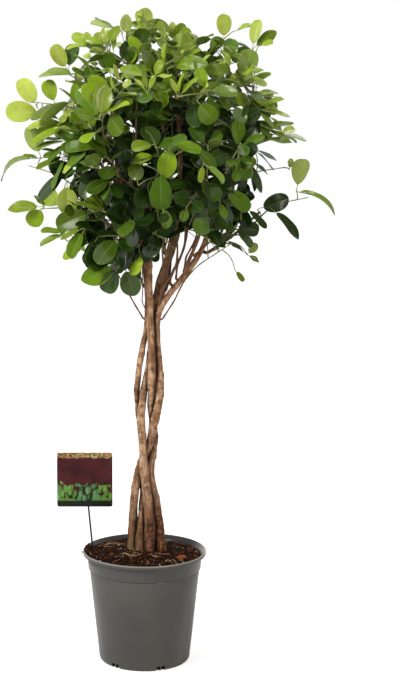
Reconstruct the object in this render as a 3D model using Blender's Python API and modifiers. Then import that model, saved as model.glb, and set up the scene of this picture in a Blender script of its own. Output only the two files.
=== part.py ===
"""A braided ficus in a nursery pot: five plaited stems, their limbs, leafy shoots, soil and label.

Metres, +Z up. The origin is the centre of the pot's underside, and the front faces -Y.
"""

import math
import random
from dataclasses import dataclass

import bmesh
import bpy
import numpy as np
from mathutils import Vector

GAP = 0.0003  # left between pieces that touch

# The pot
POT_HEIGHT = 0.190
POT_LIP_RADIUS = 0.105
POT_WALL = 0.0018
POT_FLOOR = 0.0022
FOOT_TOP = 0.012  # height where the rounded foot ends
FOOT_RADIUS = 0.0783
BODY_TOP = 0.157  # height where the collar's step begins
BODY_TOP_RADIUS = 0.0938
COLLAR_FOOT = 0.160
COLLAR_FOOT_RADIUS = 0.0957
COLLAR_TOP = 0.183
COLLAR_TOP_RADIUS = 0.0977
TURN_STEPS = 40
NOTCHES = 6
NOTCH_FIRST_DEGREES = -131.0
NOTCH_SIZE = (0.014, 0.015, 0.0090)  # radially, across and in height, half of it below the floor

# The soil
SOIL_EDGE = 0.175
SOIL_CROWN = 0.191
SOIL_MOUND = ((0.000, 1.00), (0.036, 0.92), (0.056, 0.50), (0.076, 0.12))  # radius, share of the rise

# The label
CARD_SIZE = (0.0945, 0.0008, 0.0943)
CARD_CENTRE = (-0.102, 0.0100, 0.3095)
STAKE_WIDTH = 0.0030
STAKE_DEPTH = 0.0020
STAKE_FOOT = (-0.0835, 0.0118, 0.130)
STAKE_HEAD = (-0.1030, 0.0118, 0.335)

# The braid. Each stem is a list of (x, y, z, radius) from its foot in the soil to its top.
STEM_FOOT = 0.125
STEM_STEP = 0.010  # spacing of the levels at which the stems are settled against each other
SETTLED_TOP = 0.700
FREE_STEP = 0.020  # spacing of the points above that
STEMS = {
    "stem_1": (
        (0.0300, -0.0040, 0.125, 0.0080), (0.0270, -0.0050, 0.200, 0.0076),
        (0.0242, -0.0030, 0.238, 0.0068), (0.0202, 0.0000, 0.276, 0.0064),
        (0.0110, 0.0035, 0.318, 0.0062), (0.0128, 0.0070, 0.350, 0.0062),
        (0.0162, 0.0080, 0.376, 0.0060), (0.0146, 0.0060, 0.408, 0.0062),
        (0.0116, 0.0030, 0.441, 0.0064), (0.0120, -0.0050, 0.470, 0.0064),
        (0.0122, -0.0085, 0.500, 0.0074), (0.0122, -0.0100, 0.530, 0.0062),
        (0.0104, -0.0100, 0.560, 0.0064), (0.0080, -0.0090, 0.602, 0.0066),
        (0.0064, -0.0080, 0.652, 0.0067), (0.0048, -0.0085, 0.690, 0.0062),
        (-0.0100, -0.0130, 0.722, 0.0056), (-0.0300, -0.0230, 0.770, 0.0050),
        (-0.0450, -0.0380, 0.850, 0.0040), (-0.0500, -0.0480, 0.935, 0.0028),
    ),
    "stem_2": (
        (-0.0250, 0.0010, 0.125, 0.0084), (-0.0200, -0.0010, 0.195, 0.0082),
        (-0.0200, -0.0020, 0.235, 0.0078), (-0.0178, -0.0030, 0.276, 0.0074),
        (-0.0132, -0.0020, 0.311, 0.0070), (-0.0080, 0.0030, 0.337, 0.0066),
        (0.0010, 0.0060, 0.356, 0.0064), (0.0105, 0.0000, 0.378, 0.0065),
        (0.0140, -0.0040, 0.400, 0.0066), (0.0180, -0.0065, 0.420, 0.0068),
        (0.0234, -0.0070, 0.444, 0.0068), (0.0254, -0.0040, 0.470, 0.0066),
        (0.0250, -0.0020, 0.500, 0.0062), (0.0222, -0.0030, 0.534, 0.0058),
        (0.0208, -0.0050, 0.562, 0.0054), (0.0216, -0.0050, 0.590, 0.0054),
        (0.0330, -0.0040, 0.617, 0.0052), (0.0540, -0.0040, 0.645, 0.0051),
        (0.0770, -0.0050, 0.675, 0.0048), (0.0960, -0.0050, 0.706, 0.0045),
        (0.1060, -0.0040, 0.735, 0.0042), (0.1230, 0.0020, 0.805, 0.0036),
        (0.1330, 0.0080, 0.890, 0.0026),
    ),
    "stem_3": (
        (0.0080, -0.0060, 0.125, 0.0090), (0.0080, -0.0110, 0.193, 0.0088),
        (0.0084, -0.0110, 0.225, 0.0082), (0.0062, -0.0100, 0.260, 0.0079),
        (0.0034, -0.0090, 0.294, 0.0075), (-0.0008, -0.0090, 0.328, 0.0078),
        (-0.0026, -0.0080, 0.352, 0.0070), (-0.0042, -0.0068, 0.388, 0.0063),
        (-0.0060, -0.0050, 0.416, 0.0070), (-0.0032, -0.0010, 0.448, 0.0065),
        (0.0008, 0.0040, 0.476, 0.0062), (0.0070, 0.0090, 0.505, 0.0058),
        (0.0110, 0.0100, 0.540, 0.0056), (0.0134, 0.0095, 0.570, 0.0054),
        (0.0160, 0.0100, 0.600, 0.0056), (0.0230, 0.0080, 0.640, 0.0060),
        (0.0400, 0.0030, 0.694, 0.0056), (0.0520, -0.0080, 0.762, 0.0050),
        (0.0580, -0.0190, 0.860, 0.0040), (0.0520, -0.0240, 0.965, 0.0028),
    ),
    "stem_4": (
        (-0.0080, -0.0100, 0.125, 0.0074), (-0.0080, -0.0090, 0.200, 0.0072),
        (-0.0062, -0.0030, 0.240, 0.0064), (-0.0030, 0.0040, 0.276, 0.0060),
        (-0.0022, 0.0090, 0.312, 0.0056), (-0.0034, 0.0160, 0.350, 0.0054),
        (-0.0060, 0.0130, 0.390, 0.0054), (-0.0100, 0.0080, 0.425, 0.0052),
        (-0.0126, 0.0020, 0.458, 0.0051), (-0.0112, -0.0010, 0.484, 0.0050),
        (-0.0078, 0.0000, 0.512, 0.0050), (-0.0024, 0.0020, 0.541, 0.0050),
        (0.0036, 0.0050, 0.573, 0.0048), (0.0052, 0.0070, 0.612, 0.0048),
        (0.0030, 0.0100, 0.652, 0.0047), (-0.0040, 0.0150, 0.695, 0.0045),
        (-0.0220, 0.0300, 0.745, 0.0042), (-0.0450, 0.0500, 0.808, 0.0036),
        (-0.0640, 0.0700, 0.890, 0.0026),
    ),
    "stem_5": (
        (0.0170, 0.0150, 0.125, 0.0076), (0.0160, 0.0120, 0.196, 0.0074),
        (0.0150, 0.0110, 0.250, 0.0068), (0.0100, 0.0150, 0.300, 0.0062),
        (0.0080, 0.0200, 0.350, 0.0060), (0.0125, 0.0200, 0.400, 0.0058),
        (0.0175, 0.0150, 0.450, 0.0056), (0.0190, 0.0130, 0.500, 0.0054),
        (0.0202, 0.0130, 0.540, 0.0050), (0.0216, 0.0110, 0.575, 0.0048),
        (0.0290, 0.0140, 0.622, 0.0048), (0.0370, 0.0240, 0.664, 0.0046),
        (0.0580, 0.0460, 0.732, 0.0042), (0.0740, 0.0740, 0.805, 0.0036),
        (0.0860, 0.1020, 0.895, 0.0026),
    ),
}

# Side limbs: (name, parent, height at which it leaves, way points, radius at the foot and at the tip)
LIMBS = (
    ("limb_left", "stem_1", 0.716, ((-0.045, -0.020, 0.745), (-0.105, -0.022, 0.800)), 0.0034, 0.0022),
    ("limb_left_back", "stem_4", 0.700, ((-0.050, 0.040, 0.732), (-0.105, 0.060, 0.790)), 0.0030, 0.0020),
    ("limb_front", "stem_1", 0.676, ((0.000, -0.058, 0.725), (0.010, -0.110, 0.800)), 0.0032, 0.0020),
    ("limb_front_left", "stem_1", 0.760, ((-0.050, -0.075, 0.805), (-0.075, -0.115, 0.860)), 0.0030, 0.0020),
    ("limb_front_right", "stem_2", 0.664, ((0.085, -0.055, 0.720), (0.105, -0.105, 0.785)), 0.0032, 0.0020),
    ("limb_right", "stem_2", 0.702, ((0.140, -0.004, 0.722), (0.192, 0.004, 0.766)), 0.0030, 0.0019),
    ("limb_right_high", "stem_2", 0.770, ((0.152, -0.020, 0.822), (0.182, -0.030, 0.880)), 0.0028, 0.0019),
    ("limb_back", "stem_5", 0.690, ((0.030, 0.080, 0.755), (0.015, 0.125, 0.840)), 0.0030, 0.0020),
    ("limb_back_right", "stem_5", 0.740, ((0.105, 0.075, 0.790), (0.145, 0.090, 0.850)), 0.0030, 0.0020),
    ("limb_top", "stem_3", 0.830, ((0.030, -0.010, 0.905), (0.006, 0.004, 0.985)), 0.0030, 0.0019),
)

# Leafy shoots: (name, (x, y, z) of the tip, youth from 0 old and dark to 1 new and bright)
SHOOTS = (
    ("left_top", (-0.140, -0.010, 1.000), 0.75),
    ("left_high", (-0.178, -0.020, 0.945), 0.85),
    ("left_reach", (-0.190, -0.010, 0.842), 0.45),
    ("left_low", (-0.172, -0.030, 0.772), 0.80),
    ("left_under", (-0.128, -0.010, 0.718), 0.25),
    ("left_skirt", (-0.066, -0.030, 0.706), 0.50),
    ("top_left", (-0.088, -0.010, 1.040), 0.85),
    ("top", (-0.010, -0.010, 1.068), 0.95),
    ("top_middle", (0.058, 0.000, 1.050), 0.85),
    ("top_twig", (0.128, 0.010, 1.046), 0.80),
    ("right_top", (0.180, -0.010, 1.020), 0.85),
    ("right_high", (0.204, -0.030, 0.945), 0.70),
    ("right_middle", (0.232, -0.020, 0.892), 0.75),
    ("right_reach", (0.270, -0.010, 0.790), 0.45),
    ("right_twig", (0.232, 0.030, 0.838), 0.55),
    ("right_low", (0.188, -0.020, 0.745), 0.35),
    ("right_skirt", (0.146, -0.016, 0.716), 0.55),
    ("front_heart", (0.030, -0.185, 0.850), 0.60),
    ("front_middle_right", (0.095, -0.180, 0.850), 0.65),
    ("front_high_left", (-0.062, -0.155, 0.950), 0.80),
    ("front_high", (0.012, -0.150, 0.985), 0.75),
    ("front_high_right", (0.090, -0.150, 0.955), 0.70),
    ("front_crest", (0.068, -0.090, 1.020), 0.80),
    ("front_far_right", (0.150, -0.130, 0.880), 0.60),
    ("front_low_right", (0.105, -0.140, 0.765), 0.40),
    ("front_low", (0.020, -0.140, 0.745), 0.15),
    ("front_low_left", (-0.040, -0.125, 0.735), 0.30),
    ("front_left", (-0.085, -0.150, 0.845), 0.45),
    ("front_left_middle", (-0.110, -0.110, 0.900), 0.55),
    ("front_left_low", (-0.110, -0.090, 0.775), 0.35),
    ("front_right_low", (0.165, -0.085, 0.800), 0.35),
    ("back_left", (-0.120, 0.120, 0.840), 0.50),
    ("back_left_high", (-0.075, 0.125, 0.965), 0.75),
    ("back_high", (0.030, 0.125, 1.020), 0.80),
    ("back_right_high", (0.140, 0.110, 0.975), 0.70),
    ("back_right", (0.180, 0.120, 0.860), 0.45),
    ("back_low", (0.050, 0.160, 0.760), 0.25),
    ("back_middle", (-0.010, 0.185, 0.870), 0.50),
    ("back_middle_right", (0.090, 0.190, 0.880), 0.50),
)
# Shoots that leave a stem below the crown: the stem, the height and the way points
LOW_SHOOTS = {
    "left_skirt": ("stem_4", 0.586, ((-0.019, -0.004, 0.617), (-0.037, -0.014, 0.650))),
    "right_skirt": ("stem_2", 0.588, ((0.047, -0.005, 0.614), (0.072, -0.009, 0.660))),
}
# The crown's lower edge in the front view: (x, z). A leaf further forward has to hang higher
CROWN_SKIRT = (
    (-0.250, 0.735), (-0.180, 0.725), (-0.120, 0.690), (-0.080, 0.640), (-0.030, 0.625), (-0.012, 0.640),
    (0.000, 0.700), (0.020, 0.725), (0.100, 0.725), (0.150, 0.700), (0.210, 0.712), (0.250, 0.730),
    (0.320, 0.745),
)
SKIRT_RISE = 0.07
CROWN_CENTRE = Vector((0.035, 0.000, 0.855))
SHOOT_FOOT_RADIUS = 0.0015
SHOOT_TIP_RADIUS = 0.0008
LEAVES_PER_SHOOT = 7
LEAFY_LENGTH = 0.095  # of the twig's outer end, which carries the leaves
LEAFY_SHARE = 0.7  # the most of a short twig that does
LEAF_LENGTH = 0.062  # from the twig to the leaf's tip, stalk included
LEAF_WIDTH = 0.034
LEAF_THICKNESS = 0.0006
LEAF_OUTLINE = ((0.0, 0.0), (0.42, 0.42), (0.80, 0.47), (1.0, 0.0), (0.80, -0.47), (0.42, -0.42))
GOLDEN_ANGLE = math.radians(137.5)


@dataclass
class Rod:
    """A round wooden piece: the points along its middle and the radius at each."""

    points: list
    radii: list


@dataclass
class Leaf:
    """A flat leaf: where it leaves its twig, the way it points, the way it faces, and its size."""

    base: Vector
    axis: Vector
    face: Vector
    length: float
    width: float

    def __post_init__(self):
        self.side = self.face.cross(self.axis).normalized()
        self.centre = self.base + self.axis * self.length * 0.62
        self.half_length = self.length * 0.40
        self.half_width = self.width * 0.50
        self.outline = [self.at(along, across) for along, across in LEAF_OUTLINE]

    def at(self, along, across):
        """The point a share of the length from the twig and a share of the width off the middle."""
        return self.base + self.axis * (along * self.length) + self.side * (across * self.width)


# ---------------------------------------------------------------- curves and growth


def smooth(knots, shares):
    """A smooth curve through the knots, read at shares of its length. Extra entries ride along."""
    knots = np.array(knots, float)
    spans = np.linalg.norm(np.diff(knots[:, :3], axis=0), axis=1)
    starts = np.concatenate(([0.0], np.cumsum(spans)))
    secants = np.diff(knots, axis=0) / spans[:, None]
    slopes = np.empty_like(knots)
    slopes[0], slopes[-1] = secants[0], secants[-1]
    inner = secants[:-1] * spans[1:, None] + secants[1:] * spans[:-1, None]
    slopes[1:-1] = inner / (spans[:-1] + spans[1:])[:, None]
    places = np.clip(shares, 0.0, 1.0) * starts[-1]
    index = np.clip(np.searchsorted(starts, places, side="right") - 1, 0, len(spans) - 1)
    span = spans[index][:, None]
    u = (places - starts[index])[:, None] / span
    near, far = knots[index], knots[index + 1]
    leave, arrive = slopes[index] * span, slopes[index + 1] * span
    bend = (2 * (near - far) + leave + arrive) * u + 3 * (far - near) - 2 * leave - arrive
    return ((bend * u) + leave) * u + near


def at_heights(knots, heights):
    """The curve's points, with their extra entries, at each of a list of heights."""
    dense = smooth(knots, np.linspace(0.0, 1.0, 600))
    columns = [np.interp(heights, dense[:, 2], dense[:, column]) for column in range(dense.shape[1])]
    return [list(point) for point in zip(*columns)]


def settle_stems():
    """Let the braided stems lie against each other, each as near as it can to its own course."""
    levels = int((SETTLED_TOP - STEM_FOOT) / STEM_STEP) + 1
    heights = [STEM_FOOT + STEM_STEP * level for level in range(levels)]
    courses = {name: at_heights(knots, heights) for name, knots in STEMS.items()}
    stems = {name: [list(point) for point in course] for name, course in courses.items()}
    pairs = [(stems[a], stems[b]) for index, a in enumerate(stems) for b in list(stems)[index + 1:]]
    for settling in range(90):
        for name, stem in stems.items():
            if settling < 70:
                for here, course in zip(stem, courses[name]):
                    here[0] += 0.2 * (course[0] - here[0])
                for below, here, above in zip(stem, stem[1:], stem[2:]):
                    here[1] += 0.3 * ((below[1] + above[1]) / 2 - here[1])
        for stem, other in pairs:
            push_apart(stem, other)
    return stems


def push_apart(stem, other):
    """Move two stems' points apart, more in depth than sideways, where they are too near."""
    for level, (a, b) in enumerate(zip(stem, other)):
        before, after = max(level - 1, 0), min(level + 1, len(stem) - 1)
        rise = (after - before) * STEM_STEP
        run = math.hypot(
            stem[after][0] - stem[before][0] - other[after][0] + other[before][0],
            stem[after][1] - stem[before][1] - other[after][1] + other[before][1],
        )
        apart = Vector((b[0] - a[0], b[1] - a[1]))
        need = (a[3] + b[3] + 2 * GAP) * math.hypot(1.0, run / rise)
        if apart.length < need:
            way = Vector((0.4 * apart.x, apart.y)).normalized()
            along = apart.dot(way)
            push = (math.sqrt(along**2 + need**2 - apart.length_squared) - along) / 2
            a[0] -= push * way.x
            a[1] -= push * way.y
            b[0] += push * way.x
            b[1] += push * way.y


def grow_stems():
    """The five stems as rods: the settled braid, then the free top of each stem."""
    rods = {}
    for name, settled in settle_stems().items():
        lower = settled[::2]
        free = [knot for knot in STEMS[name] if knot[2] > lower[-1][2] + 0.012]
        knots = lower[-2:] + free
        steps = round(sum(math.dist(a[:3], b[:3]) for a, b in zip(knots, knots[1:])) / FREE_STEP)
        upper = [list(point) for point in smooth(knots, np.linspace(0.0, 1.0, steps + 1))[2:]]
        path = lower + upper
        rods[name] = Rod([Vector(p[:3]) for p in path], [p[3] for p in path])
    return rods


def nearest_height(rod, height):
    """A rod's point, direction and radius at a height."""
    for index in range(len(rod.points) - 1):
        low, high = rod.points[index], rod.points[index + 1]
        if low.z <= height <= high.z:
            share = (height - low.z) / (high.z - low.z)
            radius = rod.radii[index] + share * (rod.radii[index + 1] - rod.radii[index])
            return low.lerp(high, share), (high - low).normalized(), radius
    return rod.points[-1], (rod.points[-1] - rod.points[-2]).normalized(), rod.radii[-1]


def branch(foot, along, parent_radius, way, radius, tip_radius, steps):
    """A rod that leaves its parent square to it, just clear of its surface, and follows way points."""
    aim = way[0] - foot
    outward = (aim - along * aim.dot(along)).normalized()
    start = foot + outward * (parent_radius + GAP)
    stub = start + outward * radius * 1.2
    knots = [stub, stub + outward * radius + along * radius] + way
    points = [start] + [Vector(point) for point in smooth(knots, np.linspace(0.0, 1.0, steps))]
    radii = [radius] + [radius + (tip_radius - radius) * step / (steps - 1) for step in range(steps)]
    return Rod(points, radii)


def grow_limbs(rods):
    """Add the side limbs to the stems' rods."""
    for name, parent, height, way, radius, tip_radius in LIMBS:
        foot, along, parent_radius = nearest_height(rods[parent], height)
        way = [Vector(point) for point in way]
        rods[name] = branch(foot, along, parent_radius, way, radius, tip_radius, 9)


def nearest_gap(rod, samples):
    """The smallest clearance between a rod and a list of (point, radius) samples."""
    clearance = 1.0
    for low, high, radius in zip(rod.points, rod.points[1:], rod.radii):
        for step in range(4):
            here = low.lerp(high, step / 4)
            for point, other_radius in samples:
                clearance = min(clearance, (here - point).length - radius - other_radius)
    return clearance


def samples_of(rod, spacing=0.004):
    """Points along a rod with their radii, close enough together to test against."""
    samples = []
    for index in range(len(rod.points) - 1):
        low, high = rod.points[index], rod.points[index + 1]
        steps = max(1, round((high - low).length / spacing))
        for step in range(steps):
            samples.append((low.lerp(high, step / steps), rod.radii[index]))
    samples.append((rod.points[-1], rod.radii[-1]))
    return samples


def grow_shoots(rods):
    """One twig for each shoot, from the handiest clear place on the wood to the shoot's tip."""
    wood = [samples_of(rod) for rod in rods.values()]
    places = [
        (point, (rod.points[index + 1] - rod.points[index]).normalized(), rod.radii[index], owner)
        for owner, rod in enumerate(rods.values())
        for index, point in enumerate(rod.points[:-1])
        if point.z > 0.69
    ]
    twigs = {}
    used = []
    for name, tip, _youth in SHOOTS:
        tip = Vector(tip)
        order = sorted(places, key=lambda place: reach_cost(place[0], tip))
        if name in LOW_SHOOTS:
            parent, height, _way = LOW_SHOOTS[name]
            order = [(*nearest_height(rods[parent], height), list(rods).index(parent))]
        for foot, along, radius, owner in order:
            if any((foot - taken).length < 0.012 for taken in used):
                continue
            twig = shoot_path(name, foot, along, radius, tip)
            others = [sample for index, group in enumerate(wood) if index != owner for sample in group]
            own = [sample for sample in wood[owner] if (sample[0] - foot).length > 0.014]
            if nearest_gap(twig, others + own) > 0.0015:
                break
        used.append(foot)
        twigs[name] = twig
        wood.append(samples_of(twig))
    return twigs, wood


def reach_cost(foot, tip):
    """How awkward it is for a shoot to leave a place: far away, or having to grow downward."""
    reach = tip - foot
    return reach.length + 1.5 * max(0.0, 0.35 * reach.xy.length - reach.z) + abs(reach.length - 0.13)


def shoot_path(name, foot, along, parent_radius, tip):
    """A twig's rod: it leaves its parent, rises a little and bends over towards its tip."""
    reach = tip - foot
    lift = Vector((0.0, 0.0, 0.10 * reach.length))
    way = [foot + reach * 0.5 + lift, tip]
    if name in LOW_SHOOTS:
        way = [Vector(point) for point in LOW_SHOOTS[name][2]] + [tip]
    return branch(foot, along, parent_radius, way, SHOOT_FOOT_RADIUS, SHOOT_TIP_RADIUS, 6)


def point_on(rod, share):
    """The point and direction a share of the way along a rod."""
    position = share * (len(rod.points) - 1)
    index = min(int(position), len(rod.points) - 2)
    low, high = rod.points[index], rod.points[index + 1]
    return low.lerp(high, position - index), (high - low).normalized()


def propose_leaf(twig, slot, youth, chance):
    """One leaf at its place on the twig, turned a golden angle on from the last and facing the light."""
    length = sum((b - a).length for a, b in zip(twig.points, twig.points[1:]))
    leafy = min(LEAFY_SHARE, LEAFY_LENGTH / length)
    base, along = point_on(twig, 1.0 - leafy * (slot / LEAVES_PER_SHOOT) ** 0.9)
    turn = GOLDEN_ANGLE * slot + chance.uniform(-0.5, 0.5)
    across = along.orthogonal().normalized()
    round_twig = (across * math.cos(turn) + along.cross(across) * math.sin(turn)).normalized()
    outward = (base - CROWN_CENTRE).normalized()
    if slot == 0:
        round_twig *= 0.3
    axis = along * chance.uniform(0.35, 0.8) + round_twig + outward * 0.45
    axis += Vector((0.0, 0.0, chance.uniform(-0.45, 0.25)))
    axis.normalize()
    light = outward * 0.7 + Vector((0.0, -0.15, 0.75))
    light += Vector([chance.uniform(-0.55, 0.55) for _ in range(3)])
    face = (light - axis * light.dot(axis)).normalized()
    growth = 0.55 + 0.45 * min(1.0, (slot + 0.5) / 2.5) if youth > 0.3 else 1.0
    length = LEAF_LENGTH * growth * chance.uniform(0.85, 1.12)
    width = LEAF_WIDTH * growth * chance.uniform(0.85, 1.12)
    return Leaf(base, axis, face, length, width)


def leaves_cross(leaf, other):
    """True where one leaf's outline passes through the other's blade, or lies almost on it."""
    if (leaf.centre - other.centre).length > leaf.half_length + other.half_length + 0.012:
        return False
    for one, two in ((leaf, other), (other, leaf)):
        heights = [(corner - two.centre).dot(two.face) for corner in one.outline]
        for level in (-0.0012, 0.0, 0.0012):
            cuts = []
            for index, height in enumerate(heights):
                below, above = heights[index - 1] - level, height - level
                if (below > 0) != (above > 0):
                    corner = one.outline[index - 1].lerp(one.outline[index], below / (below - above))
                    cuts.append(on_blade(two, corner))
            if len(cuts) == 2 and segment_distance(*cuts) < 1.12:
                return True
    return False


def on_blade(leaf, point):
    """A point in the leaf's own plane, in units in which the blade's edge lies at 1."""
    offset = point - leaf.centre
    return Vector((offset.dot(leaf.axis) / leaf.half_length, offset.dot(leaf.side) / leaf.half_width))


def segment_distance(start, end):
    """How near a plane segment passes to the origin."""
    run = end - start
    share = 0.0 if run.length < 1e-9 else max(0.0, min(1.0, -start.dot(run) / run.length_squared))
    return (start + run * share).length


def leaf_meets_wood(leaf, wood):
    """True where the leaf's blade or stalk runs into a stem, a limb or a twig."""
    for group in wood:
        for point, radius in group:
            offset = point - leaf.base
            if not 0.010 < offset.length < leaf.length + 0.012:
                continue
            if abs(offset.dot(leaf.face)) < radius + 0.0022 and on_blade(leaf, point).length < 1.2:
                return True
            along = offset.dot(leaf.axis)
            if 0.010 < along < leaf.length and (offset - leaf.axis * along).length < radius + 0.003:
                return True
    return False


def hangs_low(leaf):
    """True where any part of the leaf's outline lies below the crown's skirt."""
    places, edges = zip(*CROWN_SKIRT)
    return any(c.z + SKIRT_RISE * c.y < np.interp(c.x, places, edges) for c in leaf.outline)


def grow_leaves(twigs, wood):
    """The leaves of every shoot, each tried in several attitudes until it is clear of the rest."""
    placed = {name: [] for name in twigs}
    everything = []
    for slot in range(LEAVES_PER_SHOOT):
        for number, (name, _tip, youth) in enumerate(SHOOTS):
            chance = random.Random(1000 * number + slot)
            for _ in range(24):
                leaf = propose_leaf(twigs[name], slot, youth, chance)
                blocked = hangs_low(leaf) or leaf_meets_wood(leaf, wood)
                if not blocked and not any(leaves_cross(leaf, other) for other in everything):
                    placed[name].append(leaf)
                    everything.append(leaf)
                    break
    return placed


# ---------------------------------------------------------------- building


def clear_scene():
    """Remove every object that the file starts with."""
    for old in list(bpy.data.objects):
        bpy.data.objects.remove(old, do_unlink=True)


def make_collection(name):
    """A new collection in the scene."""
    collection = bpy.data.collections.new(name)
    bpy.context.scene.collection.children.link(collection)
    return collection


def make_material(name, colour, roughness):
    """A Principled material of one colour."""
    material = bpy.data.materials.new(name)
    material.use_nodes = True
    shader = material.node_tree.nodes["Principled BSDF"]
    shader.inputs["Base Color"].default_value = (*colour, 1.0)
    shader.inputs["Roughness"].default_value = roughness
    shader.inputs["Metallic"].default_value = 0.0
    return material


def add_object(name, data, collection, material=None):
    """An object of a mesh or a curve in a collection, with its material."""
    thing = bpy.data.objects.new(name, data)
    collection.objects.link(thing)
    if material:
        data.materials.append(material)
    return thing


def mark_as_cutter(thing):
    """Keep a cutter out of the model."""
    thing.hide_render = True
    thing.display_type = "WIRE"


def turned(name, profile, collection, material=None):
    """A closed turned solid from a profile that starts and ends on the Z axis."""
    mesh = bpy.data.meshes.new(name)
    points = [(radius, 0.0, height) for radius, height in profile]
    mesh.from_pydata(points, [(index, index + 1) for index in range(len(points) - 1)], [])
    thing = add_object(name, mesh, collection, material)
    screw = thing.modifiers.new("turn", "SCREW")
    screw.axis = "Z"
    screw.angle = math.tau
    screw.steps = TURN_STEPS
    screw.render_steps = TURN_STEPS
    screw.use_merge_vertices = True
    screw.merge_threshold = 0.00001
    screw.use_smooth_shade = True
    return thing


def cut(thing, cutter):
    """Take a cutter away from a solid."""
    boolean = thing.modifiers.new("cut_" + cutter.name, "BOOLEAN")
    boolean.operation = "DIFFERENCE"
    boolean.solver = "EXACT"
    boolean.object = cutter


def block(name, size, place, turn, collection, material=None):
    """A box of a size, at a place, turned about Z."""
    mesh = bpy.data.meshes.new(name)
    shape = bmesh.new()
    bmesh.ops.create_cube(shape, size=1.0)
    bmesh.ops.scale(shape, vec=size, verts=shape.verts)
    shape.to_mesh(mesh)
    shape.free()
    thing = add_object(name, mesh, collection, material)
    thing.location = place
    thing.rotation_euler = (0.0, 0.0, turn)
    return thing


def rod_curve(name, rod, sides_level, collection, swell=0.0):
    """A round rod as a bevelled curve with filled ends. Swell widens it all along."""
    curve = bpy.data.curves.new(name, "CURVE")
    curve.dimensions = "3D"
    curve.bevel_depth = 1.0
    curve.bevel_resolution = sides_level
    curve.use_fill_caps = True
    line = curve.splines.new("POLY")
    line.points.add(len(rod.points) - 1)
    for point, place, radius in zip(line.points, rod.points, rod.radii):
        point.co = (*place, 1.0)
        point.radius = radius + swell
    return add_object(name, curve, collection)


def curve_to_mesh(curve_object, collection, material=None):
    """The same object as a closed mesh, its end caps welded on."""
    name = curve_object.name
    bpy.context.view_layer.update()
    graph = bpy.context.evaluated_depsgraph_get()
    mesh = bpy.data.meshes.new_from_object(curve_object.evaluated_get(graph))
    shape = bmesh.new()
    shape.from_mesh(mesh)
    bmesh.ops.remove_doubles(shape, verts=shape.verts, dist=0.000001)
    bmesh.ops.recalc_face_normals(shape, faces=shape.faces)
    shape.to_mesh(mesh)
    shape.free()
    mesh.materials.clear()
    place = curve_object.matrix_world.copy()
    bpy.data.objects.remove(curve_object, do_unlink=True)
    thing = add_object(name, mesh, collection, material)
    thing.name = name
    thing.matrix_world = place
    mesh.shade_smooth()
    return thing


def inner_radius(height):
    """The pot's inside radius at a height below the collar's top."""
    if height < BODY_TOP:
        share = (height - FOOT_TOP) / (BODY_TOP - FOOT_TOP)
        outside = FOOT_RADIUS + share * (BODY_TOP_RADIUS - FOOT_RADIUS)
    else:
        share = (height - COLLAR_FOOT) / (COLLAR_TOP - COLLAR_FOOT)
        outside = COLLAR_FOOT_RADIUS + share * (COLLAR_TOP_RADIUS - COLLAR_FOOT_RADIUS)
    return outside - POT_WALL


def build_pot(parts, cutters):
    """The turned pot with its lip, collar step, rounded foot and drain notches."""
    plastic = make_material("grey_pot_plastic", (0.115, 0.115, 0.110), 0.45)
    profile = (
        (0.0, POT_FLOOR),
        (FOOT_RADIUS - 0.0060, POT_FLOOR),
        (FOOT_RADIUS - 0.0026, 0.0046),
        (inner_radius(FOOT_TOP), FOOT_TOP),
        (inner_radius(BODY_TOP - 0.001), BODY_TOP - 0.001),
        (inner_radius(COLLAR_FOOT), COLLAR_FOOT),
        (inner_radius(COLLAR_TOP), COLLAR_TOP),
        (COLLAR_TOP_RADIUS - 0.0006, POT_HEIGHT - 0.0008),
        (COLLAR_TOP_RADIUS + 0.0004, POT_HEIGHT),
        (POT_LIP_RADIUS - 0.0018, POT_HEIGHT),
        (POT_LIP_RADIUS - 0.0004, POT_HEIGHT - 0.0012),
        (POT_LIP_RADIUS, POT_HEIGHT - 0.0034),
        (POT_LIP_RADIUS - 0.0004, COLLAR_TOP + 0.0008),
        (POT_LIP_RADIUS - 0.0012, COLLAR_TOP),
        (COLLAR_TOP_RADIUS + 0.0006, COLLAR_TOP),
        (COLLAR_TOP_RADIUS, COLLAR_TOP - 0.0010),
        (COLLAR_FOOT_RADIUS, COLLAR_FOOT),
        (BODY_TOP_RADIUS, BODY_TOP),
        (FOOT_RADIUS, FOOT_TOP),
        (FOOT_RADIUS - 0.0010, 0.0042),
        (FOOT_RADIUS - 0.0026, 0.0012),
        (FOOT_RADIUS - 0.0052, 0.0),
        (0.0, 0.0),
    )
    pot = turned("pot", profile, parts, plastic)
    for number in range(NOTCHES):
        angle = math.radians(NOTCH_FIRST_DEGREES + 360.0 * number / NOTCHES)
        place = (math.cos(angle) * FOOT_RADIUS, math.sin(angle) * FOOT_RADIUS, 0.0)
        notch = block(f"drain_notch_{number + 1}", NOTCH_SIZE, place, angle, cutters)
        mark_as_cutter(notch)
        cut(pot, notch)


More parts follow.
